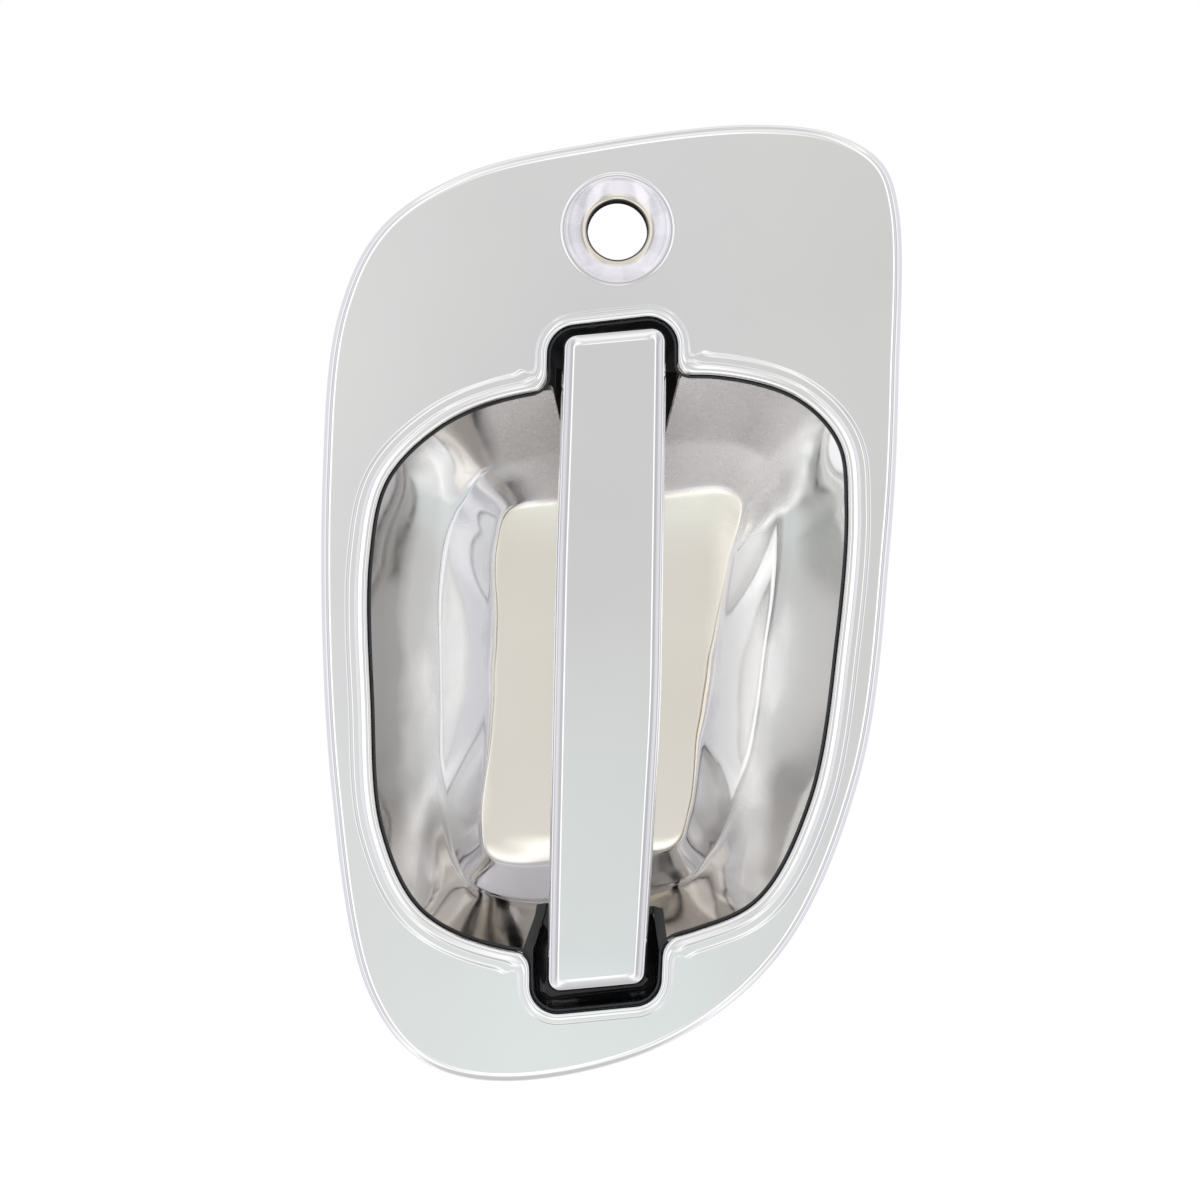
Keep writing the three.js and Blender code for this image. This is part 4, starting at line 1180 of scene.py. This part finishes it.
def stud(at):
    """An M6 stud: a plain shank in the boss and a rolled thread behind the plate."""
    front = face_at(at) + 3.6
    angles = np.linspace(0, 2 * math.pi, 32, endpoint=False)
    rows = [about("Y", at, 2.6, front, angles), about("Y", at, 3.0, front + 0.4, angles),
            about("Y", at, 3.0, 0.2, angles)]
    for y in np.arange(0.4, 15.0, 0.125):
        turn = np.mod(y - angles / (2 * math.pi), 1.0)
        ridge = np.abs(turn - 0.5) * 2
        fade = min(1, (y - 0.4) / 0.8)
        rows.append(about("Y", at, 3.0 - 0.62 * (1 - ridge) * fade, y, angles))
    rows += [about("Y", at, 2.3, 15.5, angles), about("Y", at, 1.9, 16.0, angles)]
    return from_rows(rows)


def nut(at):
    """A hexagon nut, chamfered on both faces and at the mouths of its hole."""
    angles = np.linspace(0, 2 * math.pi, 72, endpoint=False)
    inner = 5.77 * math.cos(math.pi / 6)
    hexagon = inner / np.cos(np.mod(angles, math.pi / 3) - math.pi / 6)
    face, low, high = inner * 0.97, 1.5, 6.5
    cut = (hexagon - face) * math.tan(math.radians(30))
    rows = [about("Y", at, face, low, angles), about("Y", at, hexagon, low + cut, angles),
            about("Y", at, hexagon, high - cut, angles), about("Y", at, face, high, angles),
            about("Y", at, 3.6, high, angles), about("Y", at, 3.2, high - 0.4, angles),
            about("Y", at, 3.2, low + 0.4, angles), about("Y", at, 3.6, low, angles)]
    return from_rows([*rows, rows[0]], close_ends=False)


def screw(at, low, seat, head, shank, height):
    """A pan-head screw: the profile of its head, and a threaded shank."""
    profile = [(0, low), (shank * 0.6, low + 0.2)]
    y = low + 0.5
    while y < seat - 0.9:
        profile += [(shank * 0.78, y), (shank, y + 0.25), (shank * 0.78, y + 0.5)]
        y += 0.75
    profile += [(shank, seat - 0.5), (shank, seat), (head - 0.15, seat), (head, seat + 0.15),
                (head, seat + height * 0.42), (head * 0.96, seat + height * 0.6),
                (head * 0.82, seat + height * 0.82), (head * 0.6, seat + height * 0.96),
                (head * 0.3, seat + height), (0, seat + height)]
    return turned("Y", at, profile, 40)


def carve(piece, *cutters):
    """Cuts solids, (points, faces) in millimetres, out of a piece."""
    for cutter in cutters:
        tool = bpy.data.objects.new("cutter", mesh_of("cutter", [cutter]))
        bpy.context.collection.objects.link(tool)
        cut = piece.modifiers.new("cut", "BOOLEAN")
        cut.object = tool
        cut.solver = "EXACT"
        apply_modifiers(piece)
        bpy.data.objects.remove(tool)
    shaded(piece.data, 35)


def carve_cross(piece, at, length, width, low, high):
    """The cross recess of a screw's head."""
    carve(piece, wedge(at, length, width, low, high), wedge(at, width, length, low, high))


def wedge(at, half_x, half_z, low, high):
    """A tapering pocket for a driver's blade."""
    rows = []
    for y, part in ((low, 0.55), (high, 1.0)):
        x, z = half_x * part, half_z * (0.8 + 0.2 * part)
        rows.append(np.array([(at[0] - x, y, at[1] - z), (at[0] + x, y, at[1] - z),
                              (at[0] + x, y, at[1] + z), (at[0] - x, y, at[1] + z)]))
    return from_rows(rows)


def make_fixings():
    for i, at in enumerate(STUDS, 1):
        solid(f"stud_{i}_thread", "plate", zinc, "zinc_plate", [f"stud_{i}"], stud(at), angle=50)
        solid(f"nut_{i}_hex", "plate", zinc, "zinc_plate", [f"nut_{i}"], nut(at), angle=25)
    seat = PLATE_BACK + 0.2
    for i, at in enumerate(SCREWS, 1):
        name = f"carrier_screw_{i}"
        shape = screw(at, face_at(at) + 4, seat, 3.8, 1.3, 2.4)
        piece = solid(f"{name}_pan", "plate", zinc, "zinc_plate", [name], shape)
        carve_cross(piece, at, 2.1, 0.42, seat + 0.9, seat + 2.9)
    for name, at in LEVER_SCREWS.items():
        front = face_at(at) - LEVER["proud"]
        shape = screw(at, front + 3, front + 9.6, 2.9, 1.3, 1.8)
        piece = solid(f"{name}_pan", "lever", zinc, "zinc_plate", [name], shape)
        carve_cross(piece, at, 1.6, 0.35, front + 10.3, front + 11.9)


def make_bosses():
    """The studs' and screws' bosses inside the bezel."""
    parts = []
    for at in STUDS:
        start = face_at(at) + 1.6
        profile = [(0, start), (6.4, start), (5.2, start + 2.6), (5.2, 0), (3.1, 0), (3.1, start + 3),
                   (0, start + 3)]
        parts.append(turned("Y", at, rounded(profile, 0.5)))
    for at in SCREWS:
        start = face_at(at) + 1.6
        profile = [(0, start), (4.6, start), (3.6, start + 2), (3.6, -1.5), (1.5, -1.5), (1.5, start + 2),
                   (0, start + 2)]
        parts.append(turned("Y", at, rounded(profile, 0.35), 40))
    solid("bezel_bosses", "plate", plate_chrome, "plate_chrome", ["bezel"], *parts)


def make_tabs():
    """Ears of the cup's flange that the carrier's screws pass through."""
    parts = []
    for x, z in SCREWS:
        end = np.array((x, z), float)
        way = end * (0.1, 0.2)
        way /= np.linalg.norm(way)
        across = np.array((-way[1], way[0]))
        near = end - way * 8 + np.linspace(7.6, -7.6, 15)[:, None] * across
        for _ in range(12):
            near -= way * (bowl.distance(near)[0] - 1.8)[:, None] * 0.8
        lean = math.atan2(way[1], way[0])
        turn = np.linspace(-math.pi / 2, math.pi / 2, 17)
        far = end + 6 * np.column_stack([np.cos(lean + turn), np.sin(lean + turn)])
        outer = resampled(np.concatenate([far, near]), 96)
        around = outer - end
        hole = end + 4 * around / np.linalg.norm(around, axis=1)[:, None]
        front, back = CUP["drop"] + 0.1, CUP["drop"] + CUP["wall"] - 0.1
        corners = ((outer, front), (outer, back), (hole, back), (hole, front), (outer, front))
        rows = [at_depth(q, dome(q)[0] + lower) for q, lower in corners]
        parts.append(from_rows(rows, close_ends=False))
    solid("pocket_cup_tabs", "plate", cup_chrome, "cup_chrome", ["pocket_cup"], *parts)


def pin(name, centre, half):
    """A headed pin with a groove for its clip; both profiles are (radius, how far past half its length)."""
    head = [(0, 2.3), (2.4, 2.25), (3.8, 1.9), (4.5, 1.3), (4.6, 0.6), (4.5, 0), (3.1, 0), (3.0, -0.2)]
    tip = [(3.0, 0.3), (2.9, 0.4), (2.3, 0.4), (2.3, 1.6), (2.9, 1.6), (3.0, 1.7), (3.0, 2.5), (2.5, 3.2),
           (0, 3.2)]
    profile = [(r, -half - past) for r, past in head] + [(r, half + past) for r, past in tip]
    solid(f"{name}_turned", "plate", zinc, "zinc_plate", [name], turned("X", centre, profile))


def clip(name, centre, low):
    """A retaining clip with three teeth in the pin's groove, open downwards."""
    outline = []
    for degrees in np.linspace(-62, 242, 77):
        a = math.radians(degrees)
        outline.append((centre[0] + 5.2 * math.cos(a), centre[1] + 5.2 * math.sin(a)))
    for degrees in np.linspace(242, -62, 115):
        a = math.radians(degrees)
        tooth = max(math.exp(-((degrees - at) / 13) ** 4) for at in (-32, 90, 212))
        r = 3.7 - 1.3 * tooth
        outline.append((centre[0] + r * math.cos(a), centre[1] + r * math.sin(a)))
    shape = plate(outline, low, low + 0.8, 0.1)
    solid(f"{name}_ring", "plate", spring_steel, "spring_steel", [name], shape)


def spring(name, centre, radius, turns, low, high, legs):
    """A torsion spring of round wire; its first leg rides on the moving body, its last on the plate."""
    wire, steps = 0.7, int(turns * 40)
    part = np.linspace(0, 1, steps + 1)
    angle = part * turns * 2 * math.pi
    coil = np.column_stack([low + (high - low) * part, centre[0] + radius * np.cos(angle),
                            centre[1] + radius * np.sin(angle)])
    path = [*coil]
    for end, length in ((0, -legs[0]), (-1, legs[1])):
        along = np.array((0, centre[1] - coil[end][2], coil[end][1] - centre[0]))
        along = along / np.linalg.norm(along)
        leg = [coil[end] + along * length * t for t in (0.08, 0.2, 0.4, 0.6, 0.8, 0.97, 1.0)]
        path = [*leg[::-1], *path] if end == 0 else [*path, *leg]
    path = np.array(path)
    tangent = np.gradient(path, axis=0)
    tangent /= np.linalg.norm(tangent, axis=1)[:, None]
    angles = np.linspace(0, 2 * math.pi, 16, endpoint=False)
    rows = []
    for i, (p, t) in enumerate(zip(path, tangent)):
        side = np.cross(t, (1, 0, 0))
        side /= np.linalg.norm(side)
        up = np.cross(side, t)
        thick = wire * (0.8 if i in (0, len(path) - 1) else 1.0)
        rows.append(p + thick * (np.outer(np.cos(angles), side) + np.outer(np.sin(angles), up)))
    piece = solid(f"{name}_wire", None, spring_steel, "spring_steel", [name], from_rows(rows))
    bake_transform(piece)


def bush(name, side):
    """A flanged bush of the hinge, on one side of the lever's ear."""
    inner, end = 3.1, 9.2
    profile = [(inner, end - 7), (4.4, end - 7), (4.6, end - 6.8), (4.6, end - 1), (6.2, end - 1),
               (6.4, end - 0.8), (6.4, end - 0.2), (6.2, end), (inner + 0.3, end), (inner, end - 0.3)]
    shape = tube("X", HINGE, [(r, side * x) for r, x in profile])
    solid(f"{name}_turned", "lever", acetal, "acetal", [name], shape)


def make_rod_clip():
    angle = math.radians(ROD_ARM["degrees"])
    centre = (CRANK[0] + ROD_ARM["length"] * math.cos(angle), CRANK[1] + ROD_ARM["length"] * math.sin(angle))
    profile = [(0, -16), (3.9, -16), (4.4, -15.5), (4.4, -12.8), (3.9, -12.3), (2.2, -12.3), (2.2, -7.7),
               (3.1, -7.7), (3.1, -7.3), (2.2, -6.4), (0, -6.4)]
    piece = solid("rod_clip_turned", "crank", acetal, "acetal", ["rod_clip"], turned("X", centre, profile))
    ring = about("X", centre, 1.6, -16.6, np.linspace(0, 2 * math.pi, 32, endpoint=False))
    carve(piece, from_rows([ring, ring + np.array((3.4, 0, 0))]))


def make_bumpers():
    for name, at in BUMPERS.items():
        front = face_at((0, at[1])) - LEVER["proud"] + 12.5 + 0.3
        profile = [(0, front), (2.9, front), (3.8, front + 1.4), (3.8, front + 3.2), (3.2, front + 3.9),
                   (3.8, front + 4.6), (3.8, 3.7), (1.8, 3.7), (1.8, 7.3), (3, 7.3), (2, 8.9), (0, 8.9)]
        shape = turned("Y", at, rounded(profile, 0.4))
        solid(f"{name}_turned", "plate", rubber, "rubber", [name], shape)


def refined(name, body, material, width):
    """The CAD node's shape with small rounds on its edges."""
    bm = bmesh.new()
    bm.from_mesh(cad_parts[name].data)
    bmesh.ops.remove_doubles(bm, verts=bm.verts, dist=2e-6)
    bmesh.ops.dissolve_limit(bm, angle_limit=math.radians(1.5), verts=bm.verts, edges=bm.edges)
    mesh = bpy.data.meshes.new(f"{name}_shape")
    bm.to_mesh(mesh)
    bm.free()
    piece = finished(mesh, f"{name}_shape", body, material, [name])
    bevel = piece.modifiers.new("rounds", "BEVEL")
    bevel.width = width * MM
    bevel.segments = 2
    bevel.limit_method = "ANGLE"
    bevel.angle_limit = math.radians(30)
    bevel.miter_outer = "MITER_ARC"
    apply_modifiers(piece)
    shaded(piece.data, 30)


def make_gasket():
    """The foam seal behind the bezel's rim, which steps round the studs' bosses."""
    skin = Skin()
    outer = resampled(outline.points - outline.normals * 0.4, 480)
    way = outline.distance(outer)[1]
    inner = outer - way * 4.8
    for at in STUDS:
        apart = inner - at
        far = np.linalg.norm(apart, axis=1)
        inner += apart / far[:, None] * np.clip(6.3 - far, 0, None)[:, None]
    side = sideways(way)
    front = np.tile((0.0, -1.0, 0.0), (len(outer), 1))
    rings = [(outer - way * 0.25, -1.5, front), (outer, -1.25, side), (outer, -0.25, side),
             (outer - way * 0.25, 0, -front), (inner + way * 0.25, 0, -front), (inner, -0.25, -side),
             (inner, -1.25, -side), (inner + way * 0.25, -1.5, front)]
    rings = [(skin.ring(at_depth(q, y)), n) for q, y, n in rings]
    skin.loft([*rings, rings[0]])
    skin.object("gasket_foam", "plate", rubber, ["gasket"], "rubber")


make_gasket()
make_fixings()
make_bosses()
make_tabs()
pin("hinge_pin", HINGE, 21.8)
pin("crank_pin", CRANK, 21.8)
clip("hinge_clip", HINGE, 22.4)
clip("crank_clip", CRANK, 22.4)
spring("lever_spring", HINGE, 5.6, 3.75, 10.6, 16.4, (10, 10))
spring("crank_spring", CRANK, 6.6, 4.25, 4.8, 14.4, (9, 10))
bush("hinge_bush_left", -1)
bush("hinge_bush_right", 1)
make_rod_clip()
make_bumpers()
push_pin = turned("X", PUSH_PIN, rounded([(0, -8.4), (3.5, -8.4), (3.5, 8.4), (0, 8.4)], 0.4))
solid("push_pin_turned", "lever", zinc, "zinc_plate", ["push_pin"], push_pin)
refined("carrier", "plate", black_nylon, 0.25)
refined("lever_core", "lever", cast_chrome, 0.25)
refined("bell_crank", "crank", passivated, 0.3)

# ------------------------------------------------------------------ camera, floor and light

# Lengths here are in metres.
LEAN = math.radians(1.7)
DISTANCE = 1.2
PICTURE = 0.348              # what the view takes in at that distance
AIM = Vector((-0.0029, -0.015, 0.0191))
SENSOR = 36                  # millimetres


def make_camera():
    data = bpy.data.cameras.new("camera")
    data.sensor_width = SENSOR
    data.lens = SENSOR * DISTANCE / PICTURE
    camera = bpy.data.objects.new("camera", data)
    bpy.context.collection.objects.link(camera)
    up = Vector((-math.sin(LEAN), 0, math.cos(LEAN)))
    look = Vector((0, 1, 0))
    right = look.cross(up)
    turn = Matrix((right, up, -look)).transposed().to_4x4()
    camera.matrix_world = Matrix.Translation(AIM - look * DISTANCE) @ turn
    bpy.context.scene.camera = camera


def make_world():
    """The studio round the handle, by direction: azimuth from the front (right is positive) and height."""
    world = bpy.data.worlds.new("studio")
    bpy.context.scene.world = world
    world.use_nodes = True
    tree = world.node_tree
    background = tree.nodes["Background"]
    x, y, z = axes_of(tree, "Generated")
    turn = math_node(tree, "ARCTAN2", x, math_node(tree, "MULTIPLY", y, -1))
    azimuth = math_node(tree, "MULTIPLY", turn, 57.2958)
    height = math_node(tree, "MULTIPLY", math_node(tree, "ARCSINE", z), 57.2958)
    lamp, panel, pale, violet = (1.3, 1.3, 1.3), (1.1, 1.1, 1.13), (0.86, 0.85, 0.89), (0.84, 0.82, 0.9)
    shade, dusk, behind = (0.6, 0.6, 0.63), (0.58, 0.58, 0.61), (0.8, 0.8, 0.82)
    level = ramp(tree, azimuth, -180, 180, [
        (-180, behind), (-90, violet), (-84, panel), (-76, panel), (-72, (0.64, 0.64, 0.66)),
        (-63, (0.62, 0.62, 0.645)), (-60, pale), (-54, pale), (-50, shade), (-44, shade),
        (-39, lamp), (-28, lamp), (-22, (0.82, 0.82, 0.81)), (-12, (0.78, 0.78, 0.775)),
        (0, (0.7, 0.695, 0.685)), (15, (0.7, 0.69, 0.685)), (22, (0.74, 0.735, 0.73)), (28, lamp),
        (39, lamp), (44, dusk), (50, dusk), (54, pale), (60, pale), (63, (0.58, 0.58, 0.605)),
        (72, (0.6, 0.6, 0.625)), (76, panel), (84, panel), (90, violet), (180, behind),
    ])
    low = ramp(tree, height, -90, 0, [
        (-90, (0.62, 0.61, 0.62)), (-66, (0.66, 0.65, 0.66)), (-58, (0.86, 0.85, 0.88)),
        (-53, (1.2, 1.2, 1.2)), (-25, (1.25, 1.25, 1.25)), (-19, (0.82, 0.87, 0.86)),
        (-8, (0.77, 0.81, 0.8)), (0, (0.7, 0.7, 0.695)),
    ])
    high = ramp(tree, height, 0, 90, [
        (0, (0.7, 0.7, 0.695)), (18, (0.72, 0.72, 0.715)), (26, (1.25, 1.25, 1.25)),
        (35, (1.25, 1.25, 1.25)), (39, (0.9, 0.89, 0.88)), (53, (0.88, 0.87, 0.86)),
        (57, (1.15, 1.15, 1.15)), (62, (0.92, 0.91, 0.93)), (70, (0.82, 0.81, 0.84)),
        (82, (0.66, 0.65, 0.66)), (90, (0.85, 0.85, 0.85)),
    ])
    below = ranged(tree, height, 1, 0, -1, 1)
    upright = mix_colors(tree, below, high, low)
    beside = math_node(tree, "ABSOLUTE", azimuth)
    aside = math_node(tree, "MULTIPLY", ranged(tree, beside, 0, 1, 5, 20),
                      ranged(tree, math_node(tree, "ABSOLUTE", height), 1, 0, 35, 60))
    seen = mix_colors(tree, aside, upright, level)
    path = tree.nodes.new("ShaderNodeLightPath")
    color = mix_colors(tree, path.outputs["Is Camera Ray"], seen, (1.0, 1.0, 1.0))
    tree.links.new(color, background.inputs["Color"])
    background.inputs["Strength"].default_value = 1.0


def area_light(name, place, size, power):
    """A soft lamp that looks at the handle and isn't seen itself."""
    data = bpy.data.lights.new(name, "AREA")
    data.shape = "RECTANGLE"
    data.size, data.size_y = size
    data.energy = power
    light = bpy.data.objects.new(name, data)
    bpy.context.collection.objects.link(light)
    turn = (-Vector(place)).to_track_quat("-Z", "Y").to_matrix().to_4x4()
    light.matrix_world = Matrix.Translation(place) @ turn
    light.visible_camera = False
    light.visible_glossy = False


def make_floor():
    """A plain pale floor under the handle; it isn't seen in the chrome."""
    m, tree, shader = material("floor", (0.95, 0.95, 0.95), 0.0, 0.9)
    tinted(tree, shader, noise(tree, 3, 2), (0.93, 0.93, 0.93), (0.96, 0.96, 0.96))
    shader.inputs["Emission Color"].default_value = (1, 1, 1, 1)
    shader.inputs["Emission Strength"].default_value = 0.25
    mesh = bpy.data.meshes.new("floor")
    half = 3.0
    corners = [(-half, -half, 0), (half, -half, 0), (half, half, 0), (-half, half, 0)]
    mesh.from_pydata(corners, [], [(0, 1, 2, 3)])
    mesh.materials.append(m)
    floor = bpy.data.objects.new("floor", mesh)
    bpy.context.collection.objects.link(floor)
    floor.location = (0, 0, -0.26)
    floor.visible_glossy = False


make_camera()
make_world()
make_floor()
area_light("key", (-0.5, -1.1, 0.9), (0.8, 0.6), 14)
area_light("back", (0.6, 1.1, 0.7), (0.9, 0.6), 12)
bpy.context.scene.view_settings.view_transform = "Standard"
